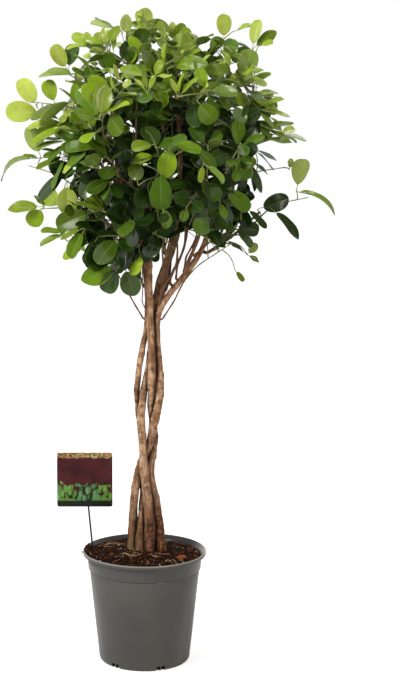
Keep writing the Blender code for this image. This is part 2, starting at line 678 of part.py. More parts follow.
def build_soil(rods, stake, parts, cutters):
    """The mounded soil, with a pocket for each stem and for the label's stake."""
    bark = make_material("bark_and_peat_mix", (0.050, 0.028, 0.018), 0.9)
    rise = SOIL_CROWN - SOIL_EDGE
    edge = inner_radius(SOIL_EDGE) - GAP
    profile = [(radius, SOIL_EDGE + share * rise) for radius, share in SOIL_MOUND]
    profile += [
        (edge, SOIL_EDGE),
        (inner_radius(COLLAR_FOOT) - GAP, COLLAR_FOOT),
        (inner_radius(BODY_TOP - 0.001) - GAP, BODY_TOP - 0.001),
        (inner_radius(FOOT_TOP) - GAP, FOOT_TOP),
        (FOOT_RADIUS - 0.0026 - GAP, 0.0046 + GAP),
        (FOOT_RADIUS - 0.0060 - GAP, POT_FLOOR + GAP),
        (0.0, POT_FLOOR + GAP),
    ]
    soil = turned("potting_soil", profile, parts, bark)
    for name in STEMS:
        foot = rods[name].points[0] - Vector((0.0, 0.0, GAP))
        buried = [point for point in rods[name].points if point.z < SOIL_CROWN + 0.03]
        hole = Rod([foot] + buried[1:], rods[name].radii[:len(buried)])
        pocket = curve_to_mesh(rod_curve("pocket_" + name, hole, 2, cutters, GAP), cutters)
        mark_as_cutter(pocket)
        cut(soil, pocket)
    slot = stake_bar("pocket_label_stake", stake, GAP, cutters)
    mark_as_cutter(slot)
    cut(soil, slot)


def stake_bar(name, ends, swell, collection, material=None):
    """The stake's straight bar between two ends, widened by a swell."""
    foot, head = ends
    run = head - foot
    size = (STAKE_WIDTH + 2 * swell, STAKE_DEPTH + 2 * swell, run.length + 2 * swell)
    bar = block(name, size, (foot + head) / 2, 0.0, collection, material)
    bar.rotation_euler = (0.0, math.atan2(run.x, run.z), 0.0)
    return bar


def build_label(ends, parts):
    """The stake and the card that it carries."""
    stake_bar("label_stake", ends, 0.0, parts, make_material("black_stake_plastic", (0.01, 0.01, 0.01), 0.4))
    card = block("label_card", CARD_SIZE, CARD_CENTRE, 0.0, parts, make_material("card", (0.12, 0.05, 0.03), 0.4))
    corners = card.modifiers.new("round_corners", "BEVEL")
    corners.width = 0.0025
    corners.segments = 2
    corners.limit_method = "WEIGHT"
    weights = card.data.attributes.new("bevel_weight_edge", "FLOAT", "EDGE")
    for edge in card.data.edges:
        low, high = (card.data.vertices[index].co for index in edge.vertices)
        weights.data[edge.index].value = 1.0 if abs(low.y - high.y) > 0.0001 else 0.0


def build_wood(rods, parts):
    """The five stems and the side limbs, each one tapering rod."""
    bark = make_material("stem_bark", (0.36, 0.23, 0.14), 0.75)
    young_bark = make_material("limb_bark", (0.22, 0.12, 0.08), 0.7)
    for name, rod in rods.items():
        if name in STEMS:
            curve_to_mesh(rod_curve(name, rod, 2, parts), parts, bark)
        else:
            curve_to_mesh(rod_curve(name, rod, 1, parts), parts, young_bark)


def leaf_blades(name, leaves, collection):
    """One shoot's leaves as thin plates, each a flat outline made solid."""
    mesh = bpy.data.meshes.new(name)
    shape = bmesh.new()
    for leaf in leaves:
        shape.faces.new([shape.verts.new(corner) for corner in leaf.outline])
    shape.to_mesh(mesh)
    shape.free()
    blades = add_object(name, mesh, collection)
    solid = blades.modifiers.new("thickness", "SOLIDIFY")
    solid.thickness = LEAF_THICKNESS
    solid.offset = 0.0
    mark_as_cutter(blades)
    return blades


def build_shoots(twigs, leaves, parts, cutters):
    """Each shoot's twig with its leaves grown onto it."""
    for name, _tip, youth in SHOOTS:
        green = (0.07 + 0.14 * youth, 0.14 + 0.20 * youth, 0.03 + 0.03 * youth)
        leaf_green = make_material("leaves_" + name, green, 0.35)
        twig = rod_curve("shoot_" + name, twigs[name], 0, parts)
        shoot = curve_to_mesh(twig, parts, leaf_green)
        union = shoot.modifiers.new("leaves", "BOOLEAN")
        union.operation = "UNION"
        union.solver = "EXACT"
        union.object = leaf_blades("blades_" + name, leaves[name], cutters)


def main():
    """Grow the plant, then build every piece of it and its pot."""
    clear_scene()
    parts = make_collection("potted_braided_ficus")
    cutters = make_collection("ficus_cutters")
    rods = grow_stems()
    grow_limbs(rods)
    twigs, wood = grow_shoots(rods)
    leaves = grow_leaves(twigs, wood)
    stake = (Vector(STAKE_FOOT), Vector(STAKE_HEAD))
    build_pot(parts, cutters)
    build_soil(rods, stake, parts, cutters)
    build_label(stake, parts)
    build_wood(rods, parts)
    build_shoots(twigs, leaves, parts, cutters)


main()
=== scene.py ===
"""The looks of a potted braided ficus: its bark, leaves, soil, pot and label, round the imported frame.

Metres, +Z up. The pot stands on z = 0 and its front faces -Y.
"""

import logging
import math
import random
from dataclasses import dataclass, field
from itertools import product
from typing import Any, Sequence

import bmesh
import bpy
import numpy as np
from mathutils import Matrix, Vector, noise


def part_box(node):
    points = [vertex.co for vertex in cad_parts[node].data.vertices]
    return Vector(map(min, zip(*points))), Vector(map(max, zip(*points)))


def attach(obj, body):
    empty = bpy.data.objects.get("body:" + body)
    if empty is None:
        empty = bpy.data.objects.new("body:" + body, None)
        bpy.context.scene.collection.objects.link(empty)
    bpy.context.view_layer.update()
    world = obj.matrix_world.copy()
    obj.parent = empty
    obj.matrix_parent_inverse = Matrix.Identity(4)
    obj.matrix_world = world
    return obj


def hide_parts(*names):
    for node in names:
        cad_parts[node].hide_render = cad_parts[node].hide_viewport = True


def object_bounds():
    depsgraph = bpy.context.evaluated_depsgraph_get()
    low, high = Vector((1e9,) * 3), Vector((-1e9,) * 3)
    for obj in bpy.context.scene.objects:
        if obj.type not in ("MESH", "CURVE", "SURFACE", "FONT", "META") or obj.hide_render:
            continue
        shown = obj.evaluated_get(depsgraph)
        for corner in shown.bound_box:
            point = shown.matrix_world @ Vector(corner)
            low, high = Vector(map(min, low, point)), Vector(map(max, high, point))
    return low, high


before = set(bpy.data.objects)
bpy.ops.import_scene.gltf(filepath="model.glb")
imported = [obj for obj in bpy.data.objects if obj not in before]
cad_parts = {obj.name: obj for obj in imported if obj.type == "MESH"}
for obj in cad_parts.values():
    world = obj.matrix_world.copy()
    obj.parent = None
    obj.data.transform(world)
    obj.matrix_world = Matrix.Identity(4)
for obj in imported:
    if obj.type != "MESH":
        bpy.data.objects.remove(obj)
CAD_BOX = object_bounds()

log = logging.getLogger("ficus")

Colour = tuple[float, float, float]
Place = tuple[float, float, float]
Span = tuple[float, float]
Faces = list[tuple[int, ...]]
Material = bpy.types.Material
Piece = bpy.types.Object

GAP = 0.0003  # left between pieces that touch
GOLDEN_ANGLE = math.radians(137.5)
BOX_MARGIN = 0.008  # how far a leaf may reach past the frame's box


def metres(sizes: Any) -> Any:
    """Turn sizes in millimetres into metres.

    Args:
        sizes: A number, a name, or a tuple or dict of them, nested as deep as needed.

    Returns:
        The same, every number a thousandth of what it was.
    """
    if isinstance(sizes, dict):
        return {name: metres(size) for name, size in sizes.items()}
    if isinstance(sizes, tuple):
        return tuple(metres(size) for size in sizes)
    return sizes if isinstance(sizes, str) else round(sizes / 1000, 6)


# Tables of sizes are typed in millimetres, with names between them where they need any.
# The stems of the braid: (x, y, z, radius) from the foot in the soil to the top
STEM_FOOT = 0.125
STEM_STEP = 0.010
SETTLED_TOP = 0.700
FREE_STEP = 0.020
STEMS = metres({
    "stem_1": (
        (30, -4, 125, 8), (27, -5, 200, 7.6), (24.2, -3, 238, 6.8), (20.2, 0, 276, 6.4),
        (11, 3.5, 318, 6.2), (12.8, 7, 350, 6.2), (16.2, 8, 376, 6), (14.6, 6, 408, 6.2),
        (11.6, 3, 441, 6.4), (12, -5, 470, 6.4), (12.2, -8.5, 500, 7.4), (12.2, -10, 530, 6.2),
        (10.4, -10, 560, 6.4), (8, -9, 602, 6.6), (6.4, -8, 652, 6.7), (4.8, -8.5, 690, 6.2),
        (-10, -13, 722, 5.6), (-30, -23, 770, 5), (-45, -38, 850, 4), (-50, -48, 935, 2.8),
    ),
    "stem_2": (
        (-25, 1, 125, 8.4), (-20, -1, 195, 8.2), (-20, -2, 235, 7.8), (-17.8, -3, 276, 7.4),
        (-13.2, -2, 311, 7), (-8, 3, 337, 6.6), (1, 6, 356, 6.4), (10.5, 0, 378, 6.5), (14, -4, 400, 6.6),
        (18, -6.5, 420, 6.8), (23.4, -7, 444, 6.8), (25.4, -4, 470, 6.6), (25, -2, 500, 6.2),
        (22.2, -3, 534, 5.8), (20.8, -5, 562, 5.4), (21.6, -5, 590, 5.4), (33, -4, 617, 5.2),
        (54, -4, 645, 5.1), (77, -5, 675, 4.8), (96, -5, 706, 4.5), (106, -4, 735, 4.2),
        (123, 2, 805, 3.6), (133, 8, 890, 2.6),
    ),
    "stem_3": (
        (8, -6, 125, 9), (8, -11, 193, 8.8), (8.4, -11, 225, 8.2), (6.2, -10, 260, 7.9),
        (3.4, -9, 294, 7.5), (-0.8, -9, 328, 7.8), (-2.6, -8, 352, 7), (-4.2, -6.8, 388, 6.3),
        (-6, -5, 416, 7), (-3.2, -1, 448, 6.5), (0.8, 4, 476, 6.2), (7, 9, 505, 5.8), (11, 10, 540, 5.6),
        (13.4, 9.5, 570, 5.4), (16, 10, 600, 5.6), (23, 8, 640, 6), (40, 3, 694, 5.6), (52, -8, 762, 5),
        (58, -19, 860, 4), (52, -24, 965, 2.8),
    ),
    "stem_4": (
        (-8, -10, 125, 7.4), (-8, -9, 200, 7.2), (-6.2, -3, 240, 6.4), (-3, 4, 276, 6),
        (-2.2, 9, 312, 5.6), (-3.4, 16, 350, 5.4), (-6, 13, 390, 5.4), (-10, 8, 425, 5.2),
        (-12.6, 2, 458, 5.1), (-11.2, -1, 484, 5), (-7.8, 0, 512, 5), (-2.4, 2, 541, 5),
        (3.6, 5, 573, 4.8), (5.2, 7, 612, 4.8), (3, 10, 652, 4.7), (-4, 15, 695, 4.5),
        (-22, 30, 745, 4.2), (-45, 50, 808, 3.6), (-64, 70, 890, 2.6),
    ),
    "stem_5": (
        (17, 15, 125, 7.6), (16, 12, 196, 7.4), (15, 11, 250, 6.8), (10, 15, 300, 6.2), (8, 20, 350, 6),
        (12.5, 20, 400, 5.8), (17.5, 15, 450, 5.6), (19, 13, 500, 5.4), (20.2, 13, 540, 5),
        (21.6, 11, 575, 4.8), (29, 14, 622, 4.8), (37, 24, 664, 4.6), (58, 46, 732, 4.2),
        (74, 74, 805, 3.6), (86, 102, 895, 2.6),
    ),
})

# Side limbs: (name, parent, height at which it leaves, way points, radius at the foot and at the tip)
LIMBS = metres((
    ("limb_left", "stem_1", 716, ((-45, -20, 745), (-105, -22, 800)), 3.4, 2.2),
    ("limb_left_back", "stem_4", 700, ((-50, 40, 732), (-105, 60, 790)), 3, 2),
    ("limb_front", "stem_1", 676, ((0, -58, 725), (10, -110, 800)), 3.2, 2),
    ("limb_front_left", "stem_1", 760, ((-50, -75, 805), (-75, -115, 860)), 3, 2),
    ("limb_front_right", "stem_2", 664, ((85, -55, 720), (105, -105, 785)), 3.2, 2),
    ("limb_right", "stem_2", 702, ((140, -4, 722), (192, 4, 766)), 3, 1.9),
    ("limb_right_high", "stem_2", 770, ((152, -20, 822), (182, -30, 880)), 2.8, 1.9),
    ("limb_back", "stem_5", 690, ((30, 80, 755), (15, 125, 840)), 3, 2),
    ("limb_back_right", "stem_5", 740, ((105, 75, 790), (145, 90, 850)), 3, 2),
    ("limb_top", "stem_3", 830, ((30, -10, 905), (6, 4, 985)), 3, 1.9),
))

# Thin bare suckers that rise beside the limbs: (parent, height at which it leaves, way points, radius)
SUCKERS = metres((
    ("stem_3", 604, ((30, -12, 660), (26, -16, 745)), 2.2),
    ("stem_3", 628, ((40, -10, 680), (62, -20, 790)), 2.6),
    ("stem_2", 612, ((52, -14, 680), (48, -20, 770)), 2.2),
    ("stem_2", 640, ((64, 6, 700), (78, 10, 800)), 2.6),
    ("stem_2", 668, ((86, -16, 730), (80, -20, 800)), 1.8),
    ("stem_5", 632, ((44, 22, 690), (40, 30, 800)), 2.6),
    ("stem_1", 606, ((-3, -14, 640), (-4, -20, 700)), 1),
    ("stem_4", 640, ((-6, 20, 690), (-14, 26, 790)), 2),
    ("stem_3", 700, ((34, -10, 780), (20, -18, 880)), 1.8),
    ("stem_1", 730, ((-20, -28, 800), (-18, -40, 900)), 1.8),
    ("stem_2", 745, ((100, -16, 820), (92, -20, 900)), 1.8),
    ("stem_2", 650, ((66, -18, 715), (64, -30, 790)), 2),
    ("stem_2", 690, ((98, 4, 745), (110, 0, 810)), 2),
    ("stem_1", 730, ((-48, -45, 830), (-70, -55, 970)), 2.4),
    ("stem_1", 735, ((-30, -45, 840), (-60, -45, 950)), 1.7),
    ("stem_1", 725, ((-14, -50, 840), (-12, -55, 960)), 2),
    ("stem_2", 735, ((50, -50, 840), (44, -55, 965)), 2.1),
    ("stem_2", 725, ((40, -45, 830), (30, -45, 940)), 1.5),
))

# Leafy shoots: (name, (x, y, z) of the tip, youth from 0 old and dark to 1 new and bright)
SHOOTS = tuple((name, metres(tip), youth) for name, tip, youth in (
    ("left_top", (-140, -10, 1000), 0.75), ("left_high", (-178, -20, 945), 0.85),
    ("left_reach", (-190, -10, 842), 0.45), ("left_low", (-172, -30, 772), 0.8),
    ("left_under", (-128, -10, 718), 0.25), ("left_skirt", (-66, -30, 706), 0.5),
    ("top_left", (-88, -10, 1040), 0.85), ("top", (-10, -10, 1068), 0.95),
    ("top_middle", (58, 0, 1050), 0.85), ("top_twig", (128, 10, 1046), 0.8),
    ("right_top", (180, -10, 1020), 0.85), ("right_high", (204, -30, 945), 0.7),
    ("right_middle", (232, -20, 892), 0.75), ("right_reach", (270, -10, 790), 0.45),
    ("right_twig", (232, 30, 838), 0.55), ("right_low", (188, -20, 745), 0.35),
    ("right_skirt", (146, -16, 716), 0.55), ("front_heart", (30, -185, 850), 0.6),
    ("front_middle_right", (95, -180, 850), 0.65), ("front_high_left", (-62, -155, 950), 0.8),
    ("front_high", (12, -150, 985), 0.75), ("front_high_right", (90, -150, 955), 0.7),
    ("front_crest", (68, -90, 1020), 0.8), ("front_far_right", (150, -130, 880), 0.6),
    ("front_low_right", (105, -140, 765), 0.4), ("front_low", (20, -140, 745), 0.15),
    ("front_low_left", (-40, -125, 735), 0.3), ("front_left", (-85, -150, 845), 0.45),
    ("front_left_middle", (-110, -110, 900), 0.55), ("front_left_low", (-110, -90, 775), 0.35),
    ("front_right_low", (165, -85, 800), 0.35), ("back_left", (-120, 120, 840), 0.5),
    ("back_left_high", (-75, 125, 965), 0.75), ("back_high", (30, 125, 1020), 0.8),
    ("back_right_high", (140, 110, 975), 0.7), ("back_right", (180, 120, 860), 0.45),
    ("back_low", (50, 160, 760), 0.25), ("back_middle", (-10, 185, 870), 0.5),
    ("back_middle_right", (90, 190, 880), 0.5),
))
# Shoots that leave a stem below the crown: the stem, the height and the way points
LOW_SHOOTS = metres({
    "left_skirt": ("stem_4", 586, ((-19, -4, 617), (-37, -14, 650))),
    "right_skirt": ("stem_2", 588, ((47, -5, 614), (72, -9, 660))),
})
# The crown's lower edge in the front view: (x, z). A leaf further forward has to hang higher
CROWN_SKIRT = metres((
    (-250, 735), (-180, 725), (-120, 690), (-80, 640), (-30, 625), (-12, 640), (-4, 680), (18, 688),
    (34, 722), (75, 738), (92, 728), (110, 708), (150, 700), (210, 712), (250, 730), (320, 745),
))
SKIRT_RISE = 0.07
# Openings in the crown's front where branches show: (x, z, radius)
OPENINGS = metres(((-65, 930, 24), (-15, 900, 22), (45, 905, 22)))
# The sides of the crown's body, past which only the sprays reach: (z, x on the left, x on the right)
CROWN_SIDES = metres((
    (700, -100, 125), (750, -120, 155), (800, -120, 165), (850, -125, 165), (900, -140, 182),
    (950, -135, 195), (1000, -105, 180), (1040, -90, 130), (1070, -50, 60), (1095, 0, 20),
))
CROWN_CENTRE = Vector((0.035, 0.000, 0.855))
SHOOT_FOOT_RADIUS = 0.0015
SHOOT_TIP_RADIUS = 0.0008
LEAVES_PER_SHOOT = 7
LEAFY_LENGTH = 0.095
LEAFY_SHARE = 0.7
LEAF_LENGTH = 0.062
LEAF_WIDTH = 0.034
STALK_SHARE = 0.20
LEAF_OUTLINE = ((0.0, 0.0), (0.42, 0.42), (0.80, 0.47), (1.0, 0.0), (0.80, -0.47), (0.42, -0.42))
BLADE_MIDDLE = 0.62  # where along the leaf its blade's middle lies
BLADE_GAP = 0.0012  # the least between two blades that lie alike
BLADE_REACH = 1.12  # how far a blade counts as reaching, its edge at 1


# ---------------------------------------------------------------- the plant's growth


def smooth(knots: Sequence[Sequence[float]], shares: np.ndarray) -> np.ndarray:
    """Read a smooth curve through knots at shares of its length.

    Args:
        knots: The points passed through. Entries after the third ride along.
        shares: Where to read it, from 0 at the first knot to 1 at the last.

    Returns:
        One row for each share.
    """
    knots = np.array(knots, float)
    spans = np.linalg.norm(np.diff(knots[:, :3], axis=0), axis=1)
    starts = np.concatenate(([0.0], np.cumsum(spans)))
    secants = np.diff(knots, axis=0) / spans[:, None]
    slopes = np.empty_like(knots)
    slopes[0], slopes[-1] = secants[0], secants[-1]
    inner = secants[:-1] * spans[1:, None] + secants[1:] * spans[:-1, None]
    slopes[1:-1] = inner / (spans[:-1] + spans[1:])[:, None]
    places = np.clip(shares, 0.0, 1.0) * starts[-1]
    index = np.clip(np.searchsorted(starts, places, side="right") - 1, 0, len(spans) - 1)
    span = spans[index][:, None]
    u = (places - starts[index])[:, None] / span
    near, far = knots[index], knots[index + 1]
    leave, arrive = slopes[index] * span, slopes[index + 1] * span
    bend = (2 * (near - far) + leave + arrive) * u + 3 * (far - near) - 2 * leave - arrive
    return ((bend * u) + leave) * u + near


@dataclass
class Rod:
    """A round wooden piece: the points along its middle and the radius at each."""

    points: list[Vector]
    radii: list[float]

    @property
    def length(self) -> float:
        """The length along the middle."""
        return sum((b - a).length for a, b in zip(self.points, self.points[1:]))

    def at_share(self, share: float) -> tuple[Vector, Vector]:
        """The point and direction a share of the way along.

        Args:
            share: From 0 at the foot to 1 at the tip.

        Returns:
            The point and the direction.
        """
        position = share * (len(self.points) - 1)
        index = min(int(position), len(self.points) - 2)
        low, high = self.points[index], self.points[index + 1]
        return low.lerp(high, position - index), (high - low).normalized()

    def at_height(self, height: float) -> tuple[Vector, Vector, float]:
        """The point, direction and radius at a height.

        Args:
            height: The height wanted.

        Returns:
            The point, the direction and the radius, those of the tip above the rod's reach.
        """
        for index in range(len(self.points) - 1):
            low, high = self.points[index], self.points[index + 1]
            if low.z <= height <= high.z:
                share = (height - low.z) / (high.z - low.z)
                radius = self.radii[index] + share * (self.radii[index + 1] - self.radii[index])
                return low.lerp(high, share), (high - low).normalized(), radius
        return self.points[-1], (self.points[-1] - self.points[-2]).normalized(), self.radii[-1]

    def samples(self, spacing: float = 0.004) -> list[tuple[Vector, float]]:
        """Points along the rod with their radii, close enough together to test against.

        Args:
            spacing: The most between two points.

        Returns:
            The points, each with its radius.
        """
        found = []
        for low, high, radius in zip(self.points, self.points[1:], self.radii):
            steps = max(1, round((high - low).length / spacing))
            found += [(low.lerp(high, step / steps), radius) for step in range(steps)]
        return found + [(self.points[-1], self.radii[-1])]

    def fine(self, spacing: float) -> tuple[np.ndarray, np.ndarray]:
        """The middle and the radii read from a smooth curve, a spacing apart.

        Args:
            spacing: The distance between two points.

        Returns:
            The points, one row each, and a radius for each.
        """
        steps = max(3, round(self.length / spacing))
        knots = [(*point, radius) for point, radius in zip(self.points, self.radii)]
        stub, span = (math.dist(a[:3], b[:3]) for a, b in zip(knots[:2], knots[1:3]))
        if 8.0 * stub < span:  # two knots after the short stub keep the curve from swinging out
            low, high = np.array(knots[1]), np.array(knots[2])
            knots[2:2] = [tuple(low + (high - low) * share * stub / span) for share in (1.5, 5.0)]
        rows = smooth(knots, np.linspace(0.0, 1.0, steps + 1))
        return rows[:, :3], rows[:, 3]


@dataclass
class Leaf:
    """A leaf: where it leaves its twig, the way it points and faces, its size, and its age and form."""

    base: Vector
    axis: Vector
    face: Vector
    length: float
    width: float
    age: float = 0.5
    bend: float = 0.35
    stalk: float = STALK_SHARE
    foot: Vector | None = None

    def __post_init__(self) -> None:
        """Work out the outline that the growth tests use."""
        self.side = self.face.cross(self.axis).normalized()
        self.centre = self.base + self.axis * self.length * BLADE_MIDDLE
        self.half_length = self.length * 0.40
        self.half_width = self.width * 0.50
        self.outline = [self.at(along, across) for along, across in LEAF_OUTLINE]

    def at(self, along: float, across: float) -> Vector:
        """The point a share of the length from the twig and a share of the width off the middle."""
        return self.base + self.axis * (along * self.length) + self.side * (across * self.width)

    def on_blade(self, point: Vector) -> Vector:
        """A point in the leaf's own plane, in units in which the blade's edge lies at 1."""
        offset = point - self.centre
        return Vector((offset.dot(self.axis) / self.half_length, offset.dot(self.side) / self.half_width))

    def hangs_low(self) -> bool:
        """True where any part of the outline lies below the crown's skirt."""
        places, edges = zip(*CROWN_SKIRT)
        return any(c.z + SKIRT_RISE * c.y < np.interp(c.x, places, edges) for c in self.outline)

    def crosses(self, other: "Leaf") -> bool:
        """True where one leaf's outline passes through the other's blade, or lies almost on it.

        Args:
            other: The leaf to test against.

        Returns:
            Whether they cross.
        """
        for one, two in ((self, other), (other, self)):
            heights = [(corner - two.centre).dot(two.face) for corner in one.outline]
            for level in (-BLADE_GAP, 0.0, BLADE_GAP):
                cuts = []
                for index, height in enumerate(heights):
                    below, above = heights[index - 1] - level, height - level
                    if (below > 0) != (above > 0):
                        share = below / (below - above)
                        cuts.append(two.on_blade(one.outline[index - 1].lerp(one.outline[index], share)))
                if len(cuts) == 2 and nearest_to_origin(*cuts) < BLADE_REACH:
                    return True
        return False


def in_body(point: Vector) -> bool:
    """True where a point lies between the sides of the crown's body."""
    heights, left, right = zip(*CROWN_SIDES)
    return bool(np.interp(point.z, heights, left) < point.x < np.interp(point.z, heights, right))


def in_opening(point: Vector) -> bool:
    """True where a point lies in front of the branches that show through the crown."""
    return point.y < 0.0 and any(math.hypot(point.x - x, point.z - z) < size for x, z, size in OPENINGS)


def nearest_to_origin(start: Vector, end: Vector) -> float:
    """How near a plane segment passes to the origin.

    Args:
        start: One end.
        end: The other end.

    Returns:
        The distance.
    """
    run = end - start
    share = 0.0 if run.length < 1e-9 else max(0.0, min(1.0, -start.dot(run) / run.length_squared))
    return (start + run * share).length


class Wood:
    """The stems, limbs and twigs, grown by the same rules as the frame's."""

    LIMB_STEPS = 9
    SUCKER_STEPS = 8
    SETTLINGS = 90
    LOOSE_SETTLINGS = 70  # after these the stems are only pushed apart
    COURSE_PULL = 0.2
    DEPTH_EASE = 0.3
    LOWEST_FOOT = 0.69
    FOOT_SPACING = 0.012
    FOOT_FREE = 0.014  # no test against the parent's wood this near the foot
    TWIG_GAP = 0.0015

    def __init__(self) -> None:
        """Settle the braid, then grow its limbs and twigs."""
        self.rods = self.grow_stems()
        for name, parent, height, way, radius, tip_radius in LIMBS:
            foot, along, parent_radius = self.rods[parent].at_height(height)
            points = [Vector(point) for point in way]
            self.rods[name] = branch(foot, along, parent_radius, points, radius, tip_radius, self.LIMB_STEPS)
        self.samples = [rod.samples() for rod in self.rods.values()]
        self.twigs = self.grow_shoots()
        self.suckers = self.grow_suckers()

    def settle(self) -> dict[str, list[list[float]]]:
        """Let the stems lie against each other, each as near as it can to its own course.

        Returns:
            For each stem, its points and radii at even heights.
        """
        levels = int((SETTLED_TOP - STEM_FOOT) / STEM_STEP) + 1
        heights = [STEM_FOOT + STEM_STEP * level for level in range(levels)]
        courses = {}
        for name, knots in STEMS.items():
            dense = smooth(knots, np.linspace(0.0, 1.0, 600))
            columns = [np.interp(heights, dense[:, 2], dense[:, column]) for column in range(4)]
            courses[name] = [list(point) for point in zip(*columns)]
        stems = {name: [list(point) for point in course] for name, course in courses.items()}
        pairs = [(stems[a], stems[b]) for index, a in enumerate(stems) for b in list(stems)[index + 1:]]
        for settling in range(self.SETTLINGS):
            for name, stem in stems.items():
                if settling < self.LOOSE_SETTLINGS:
                    for here, course in zip(stem, courses[name]):
                        here[0] += self.COURSE_PULL * (course[0] - here[0])
                    for below, here, above in zip(stem, stem[1:], stem[2:]):
                        here[1] += self.DEPTH_EASE * ((below[1] + above[1]) / 2 - here[1])
            for stem, other in pairs:
                push_apart(stem, other)
        return stems

    def grow_stems(self) -> dict[str, Rod]:
        """The five stems as rods: the settled braid, then the free top of each.

        Returns:
            The stems by name.
        """
        rods = {}
        for name, settled in self.settle().items():
            lower = settled[::2]
            free = [knot for knot in STEMS[name] if knot[2] > lower[-1][2] + 0.012]
            knots = lower[-2:] + free
            steps = round(sum(math.dist(a[:3], b[:3]) for a, b in zip(knots, knots[1:])) / FREE_STEP)
            path = lower + [list(point) for point in smooth(knots, np.linspace(0.0, 1.0, steps + 1))[2:]]
            rods[name] = Rod([Vector(p[:3]) for p in path], [p[3] for p in path])
        return rods

    def grow_shoots(self) -> dict[str, Rod]:
        """One twig for each shoot, from the handiest clear place on the wood to the shoot's tip.

        Returns:
            The twigs by the shoots' names.
        """
        places = [
            (point, (rod.points[index + 1] - rod.points[index]).normalized(), rod.radii[index], owner)
            for owner, rod in enumerate(self.rods.values())
            for index, point in enumerate(rod.points[:-1])
            if point.z > self.LOWEST_FOOT
        ]
        twigs: dict[str, Rod] = {}
        used: list[Vector] = []
        for name, tip, _youth in SHOOTS:
            tip = Vector(tip)
            order = sorted(places, key=lambda place: reach_cost(place[0], tip))
            if name in LOW_SHOOTS:
                parent, height, _way = LOW_SHOOTS[name]
                order = [(*self.rods[parent].at_height(height), list(self.rods).index(parent))]
            for foot, along, radius, owner in order:
                if any((foot - taken).length < self.FOOT_SPACING for taken in used):
                    continue
                twig = shoot_path(name, foot, along, radius, tip)
                near = [
                    sample
                    for index, group in enumerate(self.samples)
                    for sample in group
                    if index != owner or (sample[0] - foot).length > self.FOOT_FREE
                ]
                if clearance(twig, near) > self.TWIG_GAP:
                    break
            used.append(foot)
            twigs[name] = twig
            self.samples.append(twig.samples())
        return twigs

    def grow_suckers(self) -> list[Rod]:
        """The thin bare suckers.

        Returns:
            The suckers.
        """
        suckers = []
        for parent, height, way, radius in SUCKERS:
            foot, along, parent_radius = self.rods[parent].at_height(height)
            points = [Vector(point) for point in way]
            rod = branch(foot, along, parent_radius, points, radius, radius * 0.6, self.SUCKER_STEPS)
            suckers.append(rod)
        self.samples += [sucker.samples() for sucker in suckers]
        return suckers


def push_apart(stem: list[list[float]], other: list[list[float]]) -> None:
    """Move two stems' points apart, more in depth than sideways, where they are too near.

    Args:
        stem: One stem's points and radii, by level. They move.
        other: The other's. They move too.
    """
    for level, (a, b) in enumerate(zip(stem, other)):
        before, after = max(level - 1, 0), min(level + 1, len(stem) - 1)
        rise = (after - before) * STEM_STEP
        run = math.hypot(
            stem[after][0] - stem[before][0] - other[after][0] + other[before][0],
            stem[after][1] - stem[before][1] - other[after][1] + other[before][1],
        )
        apart = Vector((b[0] - a[0], b[1] - a[1]))
        need = (a[3] + b[3] + 2 * GAP) * math.hypot(1.0, run / rise)
        if apart.length < need:
            way = Vector((0.4 * apart.x, apart.y)).normalized()
            along = apart.dot(way)
            push = (math.sqrt(along**2 + need**2 - apart.length_squared) - along) / 2
            a[0] -= push * way.x
            a[1] -= push * way.y
            b[0] += push * way.x
            b[1] += push * way.y


def branch(
    foot: Vector, along: Vector, parent_radius: float, way: list[Vector],
    radius: float, tip_radius: float, steps: int,
) -> Rod:
    """A rod that leaves its parent square to it, just clear of its surface, and follows way points.

    Args:
        foot: The point on the parent's middle.
        along: The parent's direction there.
        parent_radius: The parent's radius there.
        way: The points to pass, the tip last.
        radius: The radius at the foot.
        tip_radius: The radius at the tip.
        steps: The number of points after the stub.

    Returns:
        The new rod.
    """
    aim = way[0] - foot
    outward = (aim - along * aim.dot(along)).normalized()
    start = foot + outward * (parent_radius + GAP)
    stub = start + outward * radius * 1.2
    knots = [stub, stub + outward * radius + along * radius] + way
    points = [start] + [Vector(point) for point in smooth(knots, np.linspace(0.0, 1.0, steps))]
    radii = [radius] + [radius + (tip_radius - radius) * step / (steps - 1) for step in range(steps)]
    return Rod(points, radii)


def shoot_path(name: str, foot: Vector, along: Vector, parent_radius: float, tip: Vector) -> Rod:
    """A twig's rod: it leaves its parent, rises a little and bends over towards its tip.

    Args:
        name: The shoot's name.
        foot: The point on the parent's middle.
        along: The parent's direction there.
        parent_radius: The parent's radius there.
        tip: The shoot's tip.

    Returns:
        The twig.
    """
    reach = tip - foot
    lift = Vector((0.0, 0.0, 0.10 * reach.length))
    way = [foot + reach * 0.5 + lift, tip]
    if name in LOW_SHOOTS:
        way = [Vector(point) for point in LOW_SHOOTS[name][2]] + [tip]
    return branch(foot, along, parent_radius, way, SHOOT_FOOT_RADIUS, SHOOT_TIP_RADIUS, 6)


def reach_cost(foot: Vector, tip: Vector) -> float:
    """How awkward it is for a shoot to leave a place: far away, or having to grow downward."""
    reach = tip - foot
    return reach.length + 1.5 * max(0.0, 0.35 * reach.xy.length - reach.z) + abs(reach.length - 0.13)


def clearance(rod: Rod, samples: list[tuple[Vector, float]]) -> float:
    """The smallest gap between a rod and a list of points with their radii.

    Args:
        rod: The rod.
        samples: The points with their radii.

    Returns:
        The gap, below 0 where they overlap.
    """
    points = np.array([point for point, _ in samples])
    radii = np.array([radius for _, radius in samples])
    gaps = [
        (np.linalg.norm(points - np.array(low.lerp(high, step / 4)), axis=1) - radii).min() - radius
        for low, high, radius in zip(rod.points, rod.points[1:], rod.radii)
        for step in range(4)
    ]
    return min(gaps)


@dataclass
class Shoot:
    """A leafy shoot: its twig, its side twigs and its leaves."""

    name: str
    youth: float
    twigs: list[Rod]
    leaves: list[Leaf] = field(default_factory=list)


